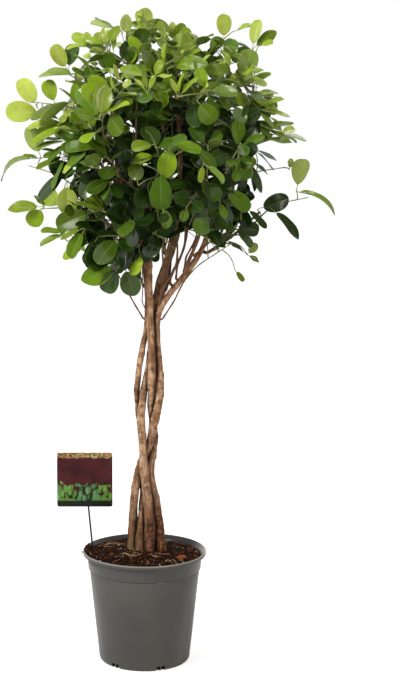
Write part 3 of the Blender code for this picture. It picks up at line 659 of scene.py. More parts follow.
# Sprays that stand out of the crown, each on a thin twig of its own: the shoot that they grow on and, for
# each, the place where its leaves meet, in millimetres, and its leaves as (heading, blade length, blade
# width, turn, age in tenths, bend in tenths). A heading is in degrees in the front view, 0 to the right and
# 90 up. A turn is about the leaf's own axis: at 0 its face looks to the front, at 75 nearly its edge, and
# past 90 its underside.
SPRAYS: tuple[tuple[str, tuple[tuple[tuple[int, ...], ...], ...]], ...] = (
    ("left_high", (
        ((-175, -10, 935), (120, 45, 30, 10, 10, 3)), ((-165, -10, 930), (180, 50, 35, 0, 10, 3)),
        ((-145, -20, 940), (110, 35, 25, 0, 9, 3)),
        ((-110, -45, 950), (200, 65, 30, 60, 8, 2), (210, 60, 30, 120, 9, 2)),
        ((-160, -10, 910), (270, 15, 10, 0, 10, 2), (330, 30, 15, 60, 8, 2)),
        ((-130, -30, 915), (185, 50, 20, 50, 10, 4), (165, 45, 20, 60, 9, 3), (200, 40, 20, 30, 9, 3)),
        ((-120, -50, 905), (195, 60, 25, 60, 9, 5), (10, 40, 25, 40, 8, 3)),
    )),
    ("left_top", (
        ((-110, -30, 990), (180, 50, 30, 70, 9, 2), (170, 40, 25, 60, 8, 3), (270, 40, 20, 10, 8, 3)),
        ((-125, 0, 995), (120, 40, 25, 0, 10, 3), (80, 40, 25, 10, 3, 4)),
    )),
    ("left_reach", (
        ((-170, -10, 855), (110, 45, 30, 170, 10, 5), (180, 70, 30, 70, 8, 14), (170, 25, 15, 70, 7, 2),
         (20, 20, 15, 40, 6, 3)),
        ((-105, -35, 825), (160, 45, 30, 0, 1, 3)), ((-120, -35, 840), (220, 60, 25, 40, 1, 4)),
    )),
    ("left_low", (
        ((-165, -10, 775), (180, 50, 25, 40, 9, 3), (130, 20, 10, 50, 8, 2), (230, 35, 30, 0, 8, 3)),
        ((-130, -25, 775), (150, 50, 35, 0, 9, 3)), ((-125, -60, 820), (270, 45, 35, 0, 10, 3)),
        ((-80, -70, 770), (200, 55, 35, 10, 6, 4)),
        ((-60, -110, 770), (140, 45, 15, 50, 9, 2), (120, 35, 10, 40, 9, 2), (160, 40, 15, 60, 8, 2)),
    )),
    ("left_under", (
        ((-85, -50, 775), (210, 55, 30, 20, 5, 4), (200, 40, 30, 0, 1, 3)),
        ((-90, -10, 720), (210, 45, 20, 40, 9, 3), (270, 30, 20, 10, 3, 3)),
        ((-120, -10, 745), (190, 20, 10, 60, 1, 2), (220, 25, 10, 60, 5, 2)),
    )),
    ("left_skirt", (
        ((-40, -60, 680), (200, 55, 35, 0, 6, 3), (240, 40, 30, 0, 2, 3)),
        ((-35, -30, 680), (290, 45, 35, 0, 4, 4)),
        ((-45, -55, 710), (340, 40, 35, 0, 7, 4), (100, 20, 10, 0, 10, 2)),
    )),
    ("top_left", (
        ((-40, -10, 1060), (160, 40, 25, 60, 9, 3), (150, 40, 20, 80, 9, 2)),
        ((-85, -15, 1035), (180, 35, 20, 70, 9, 3), (120, 20, 15, 0, 10, 3), (150, 30, 20, 20, 9, 3),
         (30, 25, 15, 20, 10, 3)),
        ((-60, -30, 1035), (100, 25, 15, 0, 10, 3), (60, 30, 20, 30, 9, 3), (160, 30, 15, 40, 8, 3),
         (280, 30, 20, 0, 5, 3)),
    )),
    ("top", (
        ((-30, -10, 1050), (90, 30, 20, 0, 10, 2), (270, 30, 25, 10, 5, 4)),
        ((5, -5, 1060), (100, 30, 25, 0, 10, 2), (150, 25, 15, 30, 9, 3), (220, 25, 20, 20, 9, 3)),
        ((-10, -35, 1015), (80, 40, 30, 0, 4, 5), (10, 30, 20, 120, 6, 2)),
    )),
    ("top_middle", (
        ((45, 0, 1040), (120, 50, 30, 130, 9, 13), (90, 30, 15, 0, 10, 2), (60, 30, 20, 10, 8, 3)),
        ((70, -10, 1035), (100, 25, 20, 0, 8, 3), (50, 20, 15, 0, 9, 3)),
        ((40, -60, 1005), (100, 40, 20, 20, 8, 3), (50, 25, 15, 30, 9, 3)),
    )),
    ("top_twig", (
        ((130, 10, 1045), (90, 35, 25, 0, 10, 2), (220, 35, 25, 120, 4, 4), (350, 45, 25, 80, 5, 5)),
        ((145, 10, 1060), (20, 30, 20, 70, 8, 2)),
    )),
    ("right_top", (
        ((175, -10, 1030), (80, 40, 20, 20, 10, 3), (40, 40, 20, 20, 7, 3)),
        ((185, -10, 1035), (20, 20, 10, 20, 9, 2)),
        ((160, -20, 970), (80, 50, 35, 10, 8, 4), (30, 40, 15, 40, 8, 3)),
        ((135, -15, 1005), (80, 35, 25, 0, 5, 4), (40, 35, 25, 20, 4, 3)),
    )),
    ("right_high", (
        ((185, -20, 955), (330, 30, 20, 20, 7, 4), (10, 20, 10, 20, 10, 3), (0, 30, 15, 80, 3, 1),
         (190, 30, 15, 50, 9, 3)),
    )),
    ("right_top", (
        ((150, -40, 985), (350, 40, 20, 50, 9, 3), (20, 35, 15, 60, 8, 3)),
    )),
    ("right_high", (
        ((165, -50, 955), (340, 45, 20, 50, 8, 3), (10, 40, 15, 60, 9, 3), (320, 40, 20, 30, 7, 3)),
    )),
    ("right_middle", (
        ((165, -60, 915), (350, 45, 20, 60, 8, 3), (330, 40, 15, 50, 6, 3), (190, 35, 20, 60, 8, 3)),
    )),
    ("right_high", (
        ((200, -30, 925), (320, 30, 15, 70, 8, 5), (20, 15, 10, 0, 9, 2), (190, 35, 15, 50, 8, 3)),
    )),
    ("right_middle", (
        ((220, -20, 895), (350, 40, 15, 60, 9, 3), (190, 40, 20, 50, 7, 3), (160, 35, 15, 50, 9, 3),
         (20, 25, 15, 30, 10, 3), (340, 30, 10, 50, 8, 3)),
        ((190, -30, 885), (0, 40, 20, 60, 8, 3), (150, 30, 20, 40, 8, 3)),
        ((185, -45, 905), (340, 45, 15, 60, 9, 2), (10, 45, 15, 50, 8, 2), (200, 30, 15, 60, 7, 3)),
    )),
    ("right_high", (
        ((175, -55, 935), (350, 50, 15, 60, 9, 2), (20, 40, 15, 60, 8, 2), (320, 35, 15, 60, 7, 3)),
    )),
    ("left_reach", (
        ((-120, -50, 885), (190, 50, 15, 60, 8, 2), (170, 45, 15, 60, 7, 3), (220, 40, 15, 50, 6, 3)),
        ((-125, -40, 860), (200, 45, 15, 50, 7, 2), (240, 50, 15, 60, 5, 3), (160, 35, 10, 60, 8, 3)),
    )),
    ("left_under", (
        ((-125, -60, 735), (200, 40, 15, 50, 8, 3), (170, 35, 15, 50, 7, 3)),
        ((-95, -85, 745), (240, 45, 25, 30, 6, 3), (200, 35, 15, 50, 9, 3)),
    )),
    ("right_twig", (
        ((240, 10, 835), (80, 15, 10, 0, 10, 2)),
        ((180, 10, 870), (320, 40, 20, 80, 2, 3), (340, 35, 20, 70, 4, 3)),
        ((165, -40, 855), (300, 50, 20, 50, 2, 3), (290, 45, 20, 60, 1, 3), (330, 35, 15, 70, 3, 3)),
    )),
    ("right_reach", (
        ((250, -10, 800), (80, 45, 30, 170, 10, 5), (350, 65, 25, 70, 8, 10), (0, 25, 10, 60, 9, 2)),
        ((185, -20, 770), (20, 45, 30, 0, 1, 3)), ((205, -20, 775), (320, 60, 20, 40, 2, 5)),
    )),
    ("right_low", (
        ((145, -40, 745), (350, 35, 25, 10, 2, 3), (320, 40, 20, 40, 3, 4)),
        ((165, -30, 775), (320, 40, 15, 40, 1, 3), (200, 30, 20, 30, 2, 3)),
    )),
    ("right_skirt", (
        ((170, -10, 695), (50, 20, 15, 0, 10, 2), (330, 20, 10, 40, 8, 2), (140, 30, 10, 50, 6, 3)),
        ((150, -5, 670), (310, 20, 10, 20, 9, 2)),
    )),
    ("front_high", (
        ((5, -155, 955), (100, 30, 10, 50, 9, 2), (130, 25, 10, 60, 10, 2), (70, 25, 10, 40, 9, 2)),
    )),
    ("front_high_right", (
        ((50, -160, 950), (80, 30, 10, 60, 9, 2), (110, 25, 10, 40, 10, 2), (50, 35, 15, 60, 9, 3)),
    )),
    ("front_high_left", (
        ((-40, -155, 970), (100, 25, 10, 40, 10, 2), (60, 30, 10, 60, 8, 2)),
    )),
    ("front_crest", (
        ((30, -115, 1000), (90, 30, 10, 50, 9, 2), (120, 25, 10, 60, 10, 2)),
    )),
    ("front_heart", (
        ((25, -185, 845), (270, 55, 35, 0, 4, 4)),
        ((40, -185, 880), (260, 45, 30, 0, 7, 8), (350, 40, 20, 30, 6, 3)),
        ((75, -180, 875), (320, 40, 20, 30, 5, 3)), ((-25, -160, 850), (20, 30, 20, 40, 8, 3)),
        ((-10, -160, 815), (100, 30, 25, 10, 7, 3)),
    )),
    ("front_middle_right", (
        ((90, -180, 850), (320, 35, 20, 120, 6, 3), (20, 35, 25, 0, 4, 3), (260, 25, 10, 0, 9, 3)),
    )),
    ("front_far_right", (
        ((120, -125, 815), (320, 50, 25, 10, 5, 4)), ((125, -120, 830), (30, 45, 25, 30, 7, 3)),
    )),
    ("front_low_right", (
        ((90, -130, 780), (270, 35, 30, 0, 5, 4), (330, 35, 15, 30, 7, 3), (190, 25, 10, 20, 6, 3)),
    )),
    ("front_low", (
        ((20, -130, 780), (250, 35, 35, 0, 1, 3), (290, 30, 25, 0, 2, 3)),
    )),
    ("front_low_left", (
        ((-10, -120, 765), (210, 35, 35, 0, 3, 3)),
    )),
    ("front_high_left", (
        ((-70, -160, 915), (80, 45, 30, 0, 9, 3), (160, 30, 20, 30, 7, 3)),
    )),
    ("front_high", (
        ((15, -125, 980), (160, 45, 20, 40, 8, 3), (70, 25, 15, 20, 9, 2)),
    )),
    ("front_crest", (
        ((35, -95, 995), (20, 55, 30, 40, 7, 10), (280, 35, 25, 0, 6, 4)),
        ((85, -90, 990), (10, 40, 20, 20, 8, 5), (150, 35, 15, 40, 7, 3)),
    )),
    ("front_high_right", (
        ((95, -150, 960), (110, 30, 20, 0, 7, 3), (290, 40, 20, 10, 5, 4), (0, 40, 20, 20, 6, 3)),
        ((80, -155, 945), (310, 35, 30, 0, 6, 3)),
    )),
)


class Foliage:
    """The crown's leaves, placed one by one where they cross neither wood nor each other."""

    LEAF_TRIES = 24
    SPRIGS_PER_SHOOT = 6
    LEAVES_PER_SPRIG = 6
    SPRIG_TRIES = 24
    SPRIG_LEAF_TRIES = 30
    SPRIG_SPAN = (0.35, 0.9)  # the share of its shoot that a sprig may leave
    SPRIG_LENGTH = (0.030, 0.062)
    SPRIG_LEAF = 0.88
    SPRIG_LEAFY = 0.9
    LOWEST_SPRIG = 0.705
    SPRAY_DIPS = (0.0, -0.2, 0.2, -0.4, 0.4, -0.6, 0.6)
    SPRAY_SHIFTS = (0.0, -0.008, 0.008, -0.016, 0.016)
    SPRAY_STAGGER = 0.10  # each next leaf of a spray leaves its twig this share further back
    CROWN_REACH = Vector((0.190, 0.190, 0.225))
    HEART_TRIES = 2500
    HEART_SPACE = ((-0.060, 0.140), (-0.015, 0.100), (0.770, 1.000))
    STALK_FREE = 0.010  # no test against the wood this near a leaf's foot
    NEAR = 0.012

    def __init__(self, wood: Wood) -> None:
        """Grow the sprays, the shoots' own leaves, side twigs with more of them, then the heart's leaves.

        Args:
            wood: The wood that carries it.
        """
        self.wood = wood
        self.placed: list[Leaf] = []
        self.centres = np.zeros((0, 3))
        self.reaches = np.zeros(0)
        self.shoots = [Shoot(name, youth, [wood.twigs[name]]) for name, _tip, youth in SHOOTS]
        self.gather_wood()
        self.grow_sprays()
        self.gather_wood()
        self.grow_own_leaves()
        self.grow_sprigs()
        self.grow_heart()

    def gather_wood(self) -> None:
        """Put every sample of the wood in two arrays to test against."""
        samples = [sample for group in self.wood.samples for sample in group]
        self.wood_points = np.array([point for point, _ in samples])
        self.wood_radii = np.array([radius for _, radius in samples])

    def meets_wood(self, leaf: Leaf) -> bool:
        """True where the leaf's blade or stalk runs into a stem, a limb or a twig.

        Args:
            leaf: The leaf to test.

        Returns:
            Whether it does.
        """
        offset = self.wood_points - np.array(leaf.base)
        far = np.linalg.norm(offset, axis=1)
        close = (far > self.STALK_FREE) & (far < leaf.length + self.NEAR)
        offset, radii = offset[close], self.wood_radii[close]
        along, across = offset @ np.array(leaf.axis), offset @ np.array(leaf.side)
        height = np.abs(offset @ np.array(leaf.face))
        ahead = along - BLADE_MIDDLE * leaf.length
        over = np.hypot(ahead / leaf.half_length, across / leaf.half_width) < 1.2
        if (over & (height < radii + 0.0022)).any():
            return True
        off_axis = np.hypot(across, height)
        on_stalk = (along > self.STALK_FREE) & (along < leaf.length)
        return bool((on_stalk & (off_axis < radii + 0.003)).any())

    def is_clear(self, leaf: Leaf, free: bool = False) -> bool:
        """True where a leaf crosses nothing and, unless it is free of it, keeps to the crown's body.

        Args:
            leaf: The leaf to test.
            free: Whether it may leave the crown's body.

        Returns:
            Whether the leaf can stay.
        """
        if not free and (leaf.hangs_low() or not in_body(leaf.centre) or in_opening(leaf.centre)):
            return False
        if self.meets_wood(leaf):
            return False
        apart = np.linalg.norm(self.centres - np.array(leaf.centre), axis=1)
        near = apart <= self.reaches + leaf.half_length + self.NEAR
        return not any(leaf.crosses(self.placed[index]) for index in np.flatnonzero(near))

    def in_box(self, leaf: Leaf) -> bool:
        """True where the whole outline lies inside the frame's box and its margin.

        Args:
            leaf: The leaf to test.

        Returns:
            Whether it does.
        """
        return all(
            CAD_BOX[0][axis] - BOX_MARGIN < corner[axis] < CAD_BOX[1][axis] + BOX_MARGIN
            for corner in leaf.outline
            for axis in range(3)
        )

    def place(self, shoot: Shoot, leaf: Leaf) -> None:
        """Add a leaf to a shoot and to what later leaves are tested against.

        Args:
            shoot: The shoot that carries it.
            leaf: The leaf.
        """
        shoot.leaves.append(leaf)
        self.placed.append(leaf)
        self.centres = np.vstack((self.centres, leaf.centre))
        self.reaches = np.append(self.reaches, leaf.half_length)

    def grow_sprays(self) -> None:
        """The sprays that stand out, each leaf tilted in depth until it clears those before it."""
        shoots = {shoot.name: shoot for shoot in self.shoots}
        for name, sprays in SPRAYS:
            for place, *fan in sprays:
                node = Vector(metres(place))
                twig = self.spray_twig(shoots[name], node)
                for number, row in enumerate(fan):
                    base = node.lerp(twig.points[-2], self.SPRAY_STAGGER * number)
                    if not self.grow_fanned(shoots[name], base, row):
                        log.info("%s has no room for a leaf at %s", name, place)

    def grow_fanned(self, shoot: Shoot, base: Vector, row: tuple[int, ...]) -> bool:
        """One leaf of a spray, tilted and moved in depth until it is clear.

        Args:
            shoot: The shoot that carries it.
            base: Where it leaves the spray's twig.
            row: Its row in SPRAYS.

        Returns:
            Whether there was room.
        """
        heading, length, width, turn, age, bend = row
        for shift, dip in product(self.SPRAY_SHIFTS, self.SPRAY_DIPS):
            start = base + Vector((0.0, shift, 0.0))
            leaf = fanned_leaf(start, heading, dip, turn, *metres((length, width)))
            if self.is_clear(leaf, free=True):
                leaf.age, leaf.bend, leaf.foot = age / 10, bend / 10, base
                self.place(shoot, leaf)
                return True
        return False

    def spray_twig(self, shoot: Shoot, node: Vector) -> Rod:
        """The bowed twig from a shoot's main twig to the place where a spray's leaves meet.

        Args:
            shoot: The shoot.
            node: Where the leaves meet.

        Returns:
            The twig, which joins the shoot unless it is too short to see.
        """
        main = shoot.twigs[0]
        reach = [main.at_share(share / 40) for share in range(12, 41)]
        foot, along = min(reach, key=lambda place: (place[0] - node).length)
        run = node - foot
        bow = (along * 0.22 + Vector((0.0, 0.0, 0.06))) * run.length
        middle = foot.lerp(node, 0.5) + bow * 0.5
        points = [foot, foot.lerp(middle, 0.6) + bow * 0.1, middle.lerp(node, 0.5) + bow * 0.1, node]
        twig = Rod(points, [0.0010, 0.0009, 0.0008, 0.0007])
        if run.length > 0.004:
            shoot.twigs.append(twig)
            self.wood.samples.append(twig.samples())
        return twig

    def grow_own_leaves(self) -> None:
        """The leaves that the frame's shoots carry, in the same attitudes."""
        for slot in range(LEAVES_PER_SHOOT):
            for number, shoot in enumerate(self.shoots):
                chance = random.Random(1000 * number + slot)
                for _ in range(self.LEAF_TRIES):
                    leaf = propose_leaf(shoot.twigs[0], slot, shoot.youth, chance)
                    if self.is_clear(leaf):
                        leaf.age = leaf_age_and_painted_light(shoot.youth, slot, leaf, chance)
                        self.place(shoot, leaf)
                        break

    def grow_sprigs(self) -> None:
        """Side twigs on every shoot, each towards the emptiest room about it, with their leaves."""
        for turn in range(self.SPRIGS_PER_SHOOT):
            for number, shoot in enumerate(self.shoots):
                chance = random.Random(5000 + 100 * number + turn)
                sprig = self.best_sprig(shoot, chance)
                if sprig is None:
                    continue
                before = len(shoot.leaves)
                sizes = (self.LEAVES_PER_SPRIG, self.SPRIG_LEAFY, self.SPRIG_LEAF)
                for slot in range(self.LEAVES_PER_SPRIG):
                    for _ in range(self.SPRIG_LEAF_TRIES):
                        leaf = propose_leaf(sprig, slot, shoot.youth, chance, *sizes)
                        if self.in_box(leaf) and self.is_clear(leaf):
                            leaf.age = leaf_age_and_painted_light(shoot.youth, slot, leaf, chance)
                            self.place(shoot, leaf)
                            break
                if len(shoot.leaves) > before:
                    shoot.twigs.append(sprig)

    def grow_heart(self) -> None:
        """Old dark leaves on the wood inside the crown, which close most gaps between the branches."""
        chance = random.Random(9000)
        inner = [
            point for group in self.wood.samples for point, _ in group
            if all(low < size < high for size, (low, high) in zip(point, self.HEART_SPACE))
        ]
        before = len(self.placed)
        for _ in range(self.HEART_TRIES):
            base, heading = chance.choice(inner), chance.uniform(0.0, math.tau)
            axis = Vector((math.cos(heading), chance.uniform(-0.1, 0.6), math.sin(heading))).normalized()
            face = Vector((chance.uniform(-0.4, 0.4), -1.0, chance.uniform(-0.2, 0.6)))
            face = (face - axis * face.dot(axis)).normalized()
            leaf = Leaf(base, axis, face, chance.uniform(0.055, 0.070), chance.uniform(0.030, 0.040))
            leaf.age = chance.uniform(0.0, 0.2)
            if self.is_clear(leaf, free=True):
                nearest = min(self.shoots, key=lambda shoot: (shoot.twigs[0].points[0] - base).length)
                self.place(nearest, leaf)
        log.info("%d leaves in the crown's heart", len(self.placed) - before)

    def best_sprig(self, shoot: Shoot, chance: random.Random) -> Rod | None:
        """The side twig that leads furthest from the leaves already there.

        Args:
            shoot: The shoot that it grows on.
            chance: The source of the tries.

        Returns:
            The side twig, or None where no try stays inside the crown.
        """
        best, widest = None, 0.0
        for _ in range(self.SPRIG_TRIES):
            foot, along = shoot.twigs[0].at_share(chance.uniform(*self.SPRIG_SPAN))
            way = Vector([chance.gauss(0.0, 1.0) for _ in range(3)]).normalized()
            way = (way + 0.5 * (foot - CROWN_CENTRE).normalized() + 0.3 * along).normalized()
            tip = foot + way * chance.uniform(*self.SPRIG_LENGTH)
            offset = tip - CROWN_CENTRE
            reach = Vector([size / most for size, most in zip(offset, self.CROWN_REACH)]).length
            if reach > 1.0 or tip.z < self.LOWEST_SPRIG or not in_body(tip):
                continue
            room = np.linalg.norm(self.centres - np.array(tip), axis=1)
            width = np.sort(room)[:4].mean()
            if width > widest:
                middle = foot.lerp(tip, 0.5) + Vector((0.0, 0.0, 0.004))
                best, widest = Rod([foot, middle, tip], [0.0010, 0.0008, 0.0006]), width
        return best


def propose_leaf(
    twig: Rod, slot: int, youth: float, chance: random.Random,
    leaves: int = LEAVES_PER_SHOOT, share: float = LEAFY_SHARE, scale: float = 1.0,
) -> Leaf:
    """One leaf at its place on the twig, turned a golden angle on from the last and facing the light.

    Args:
        twig: The twig that carries it.
        slot: Its number, counted from the tip.
        youth: How new the shoot is.
        chance: The source of its variation.
        leaves: The number of leaves on the twig.
        share: The most of the twig that carries leaves.
        scale: How large its leaves are.

    Returns:
        The leaf.
    """
    leafy = min(share, LEAFY_LENGTH / twig.length)
    base, along = twig.at_share(1.0 - leafy * (slot / leaves) ** 0.9)
    turn = GOLDEN_ANGLE * slot + chance.uniform(-0.5, 0.5)
    across = along.orthogonal().normalized()
    round_twig = (across * math.cos(turn) + along.cross(across) * math.sin(turn)).normalized()
    outward = (base - CROWN_CENTRE).normalized()
    if slot == 0:
        round_twig *= 0.3
    axis = along * chance.uniform(0.35, 0.8) + round_twig + outward * 0.45
    axis += Vector((0.0, 0.0, chance.uniform(-0.45, 0.25)))
    axis.normalize()
    light = outward * 0.55 + Vector((0.0, -0.10, 0.85))
    light += Vector([chance.uniform(-0.80, 0.80) for _ in range(3)])
    face = (light - axis * light.dot(axis)).normalized()
    growth = 0.50 + 0.50 * min(1.0, (slot + 0.5) / 3.0) if youth > 0.3 else 0.95
    growth *= float(np.interp(base.z, (0.94, 1.06), (1.0, 0.68)))
    growth *= scale
    length = LEAF_LENGTH * growth * chance.uniform(0.66, 1.12)
    width = LEAF_WIDTH * growth * chance.uniform(0.75, 1.12)
    return Leaf(base, axis, face, length, width)


def fanned_leaf(base: Vector, heading: float, dip: float, turn: float, length: float, width: float) -> Leaf:
    """A leaf of a spray.

    Args:
        base: Where it leaves the twig.
        heading: The way it points in the front view, in degrees from the right, 90 up.
        dip: How far it points to the back, as a share of its length.
        turn: How far it is turned about its own axis, in degrees.
        length: The blade's length.
        width: The blade's width.

    Returns:
        The leaf.
    """
    angle, roll = math.radians(heading), math.radians(turn)
    axis = Vector((math.cos(angle), dip, math.sin(angle))).normalized()
    over = Vector((-math.sin(angle), 0.0, math.cos(angle)))
    if over.z < 0:
        over.negate()
    face = Vector((0.0, -math.cos(roll), 0.0)) + over * math.sin(roll)
    face = (face - axis * face.dot(axis)).normalized()
    return Leaf(base, axis, face, length / (1.0 - STALK_SHARE), width)


def leaf_age_and_painted_light(youth: float, slot: int, leaf: Leaf, chance: random.Random) -> float:
    """How new a leaf looks, from 0 dark to 1 lime.

    It is newer at its shoot's tip, outside the crown and high up, and at the far left it is made lighter as
    painted light, for the light that shines through the leaves there.

    Args:
        youth: How new the shoot is.
        slot: The leaf's number, counted from the tip.
        leaf: The leaf.
        chance: The source of its variation.

    Returns:
        The age mark.
    """
    offset = leaf.centre - CROWN_CENTRE
    depth = Vector((offset.x / 0.20, offset.y / 0.21, offset.z / 0.24)).length
    rise = 2.1 * max(-0.07, leaf.centre.z - 0.86)
    age = 0.55 * youth + 0.80 * (depth - 0.74) + rise - 0.06 * slot
    # painted light: leaves at the crown's far left are made newer and so lighter, for the light that shines
    # through them there
    age += float(np.interp(leaf.centre.x, (-0.16, -0.09), (0.22, 0.0)))
    return max(0.0, min(1.0, age + chance.gauss(0.08, 0.19)))


# ---------------------------------------------------------------- shading tools


class Wire:
    """A value in a node tree: arithmetic on it adds Math nodes."""

    def __init__(self, bench: "Bench", socket: bpy.types.NodeSocket) -> None:
        """Wrap an output socket."""
        self.bench = bench
        self.socket = socket

    def __add__(self, other: "Value") -> "Wire":
        """Sum."""
        return self.bench.math("ADD", self, other)

    def __sub__(self, other: "Value") -> "Wire":
        """Difference."""
        return self.bench.math("SUBTRACT", self, other)

    def __rsub__(self, other: "Value") -> "Wire":
        """Difference, the other way round."""
        return self.bench.math("SUBTRACT", other, self)

    def __mul__(self, other: "Value") -> "Wire":
        """Product."""
        return self.bench.math("MULTIPLY", self, other)

    def __truediv__(self, other: "Value") -> "Wire":
        """Quotient."""
        return self.bench.math("DIVIDE", self, other)

    def __rtruediv__(self, other: "Value") -> "Wire":
        """Quotient, the other way round."""
        return self.bench.math("DIVIDE", other, self)

    def __abs__(self) -> "Wire":
        """Size without its sign."""
        return self.bench.math("ABSOLUTE", self)

    __radd__, __rmul__ = __add__, __mul__


Value = Wire | float


class Bench:
    """A node tree as it is being made: one method adds any node, and the rest are short forms of it."""

    def __init__(self, owner: Material | bpy.types.World) -> None:
        """Start with the nodes that the owner comes with.

        Args:
            owner: A material or a world.
        """
        self.owner = owner
        owner.use_nodes = True
        self.tree = owner.node_tree

    def node(
        self, kind: str, settings: dict[str, Any] | None = None,
        sockets: dict[Any, Any] | None = None, output: Any = 0,
    ) -> Wire:
        """Add a node.

        Args:
            kind: The node's type without its ShaderNode prefix.
            settings: The node's own settings, set first. "stops" holds a ramp's (position, colour) pairs.
            sockets: Values or wires for its input sockets, by name or number.
            output: The name or number of the output that is wanted.

        Returns:
            That output.
        """
        made = self.tree.nodes.new("ShaderNode" + kind)
        for key, value in (settings or {}).items():
            if key == "stops":
                self.set_stops(made.color_ramp, value)
            else:
                setattr(made, key, value)
        for key, value in (sockets or {}).items():
            self.feed(made.inputs[key], value)
        return Wire(self, made.outputs[output])

    @staticmethod
    def set_stops(ramp: bpy.types.ColorRamp, stops: Sequence[tuple[float, Colour]]) -> None:
        """Give a ramp its stops.

        Args:
            ramp: The ramp.
            stops: Its positions and colours.
        """
        while len(ramp.elements) < len(stops):
            ramp.elements.new(1.0)
        for element, (position, colour) in zip(ramp.elements, stops):
            element.position = position
            element.color = (*colour, 1.0)

    def feed(self, socket: bpy.types.NodeSocket, value: Any) -> None:
        """Link or set one input socket.

        Args:
            socket: The input socket.
            value: A wire to link, or a value to set.
        """
        if isinstance(value, Wire):
            self.tree.links.new(value.socket, socket)
        elif isinstance(value, tuple) and socket.type == "RGBA":
            socket.default_value = (*value, 1.0)
        else:
            socket.default_value = value

    def math(self, operation: str, *values: Value) -> Wire:
        """A Math node."""
        return self.node("Math", {"operation": operation}, dict(enumerate(values)))

    def ease(self, value: Value, low: float, high: float, start: float = 0.0, end: float = 1.0) -> Wire:
        """A smooth step from start to end as value goes from low to high."""
        sockets = {0: value, 1: low, 2: high, 3: start, 4: end}
        return self.node("MapRange", {"interpolation_type": "SMOOTHSTEP"}, sockets)

    def mix(self, share: Value, a: Any, b: Any, blend: str = "MIX") -> Wire:
        """A colour between two."""
        settings = {"data_type": "RGBA", "blend_type": blend}
        return self.node("Mix", settings, {0: share, 6: a, 7: b}, 2)

    def layers(self, colour: Any, *coats: tuple[Value, Any]) -> Wire:
        """A colour under coats of others.

        Args:
            colour: The colour underneath.
            coats: How much each coat covers, from 0 to 1, and its colour, in the order they are laid.

        Returns:
            What is seen.
        """
        for share, coat in coats:
            colour = self.mix(share, colour, coat)
        return colour

    def ramp(self, value: Wire, stops: Sequence[tuple[float, Colour]]) -> Wire:
        """A colour read from a ramp."""
        return self.node("ValToRGB", {"stops": stops}, {0: value})

    def grey(self, value: Wire) -> Wire:
        """A grey of a value."""
        return self.node("CombineColor", sockets={0: value, 1: value, 2: value})

    def place(self) -> Wire:
        """The point on the surface, in metres."""
        return self.node("TexCoord", output="Object")

    def part(self, vector: Wire, axis: str) -> Wire:
        """One axis of a vector."""
        return self.node("SeparateXYZ", sockets={0: vector}, output=axis)

    def stretch(self, scale: Place) -> Wire:
        """The point on the surface, scaled along each axis."""
        return self.node("VectorMath", {"operation": "MULTIPLY"}, {0: self.place(), 1: scale})

    def length(self, vector: Wire) -> Wire:
        """The length of a vector."""
        return self.node("VectorMath", {"operation": "LENGTH"}, {0: vector}, "Value")

    def noise(self, scale: float | Place, detail: float = 3.0, roughness: float = 0.5) -> Wire:
        """Noise from 0 to 1.

        Args:
            scale: How many features there are to the metre, alike every way or along each axis.
            detail: How many finer noises are added.
            roughness: How strong they are.

        Returns:
            The noise.
        """
        vector, size = (self.stretch(scale), 1.0) if isinstance(scale, tuple) else (self.place(), scale)
        sockets = {"Vector": vector, "Scale": size, "Detail": detail, "Roughness": roughness}
        return self.node("TexNoise", sockets=sockets)

    def cells(self, scale: float, stretch: Place | None = None, output: str = "Distance") -> Wire:
        """Distances or colours of scattered cells."""
        vector = self.stretch(stretch) if stretch else self.place()
        return self.node("TexVoronoi", {"feature": "F1"}, {"Vector": vector, "Scale": scale}, output)

    def mark(self, name: str) -> Wire:
        """A mark that the mesh carries."""
        return self.node("Attribute", {"attribute_name": name}, output="Fac")

    def bump(self, height: Wire, distance: float, strength: float = 1.0) -> Wire:
        """A bump of a height in metres."""
        sockets = {"Strength": strength, "Distance": distance, "Height": height}
        return self.node("Bump", sockets=sockets, output="Normal")

    def finish(self, **sockets: Any) -> Material:
        """Feed the Principled shader, its socket names written with underscores, and hand over the material.

        Args:
            sockets: A value or a wire for each.

        Returns:
            The material.
        """
        for key, value in sockets.items():
            self.feed(self.tree.nodes["Principled BSDF"].inputs[key.replace("_", " ")], value)
        return self.owner


# ---------------------------------------------------------------- finishes


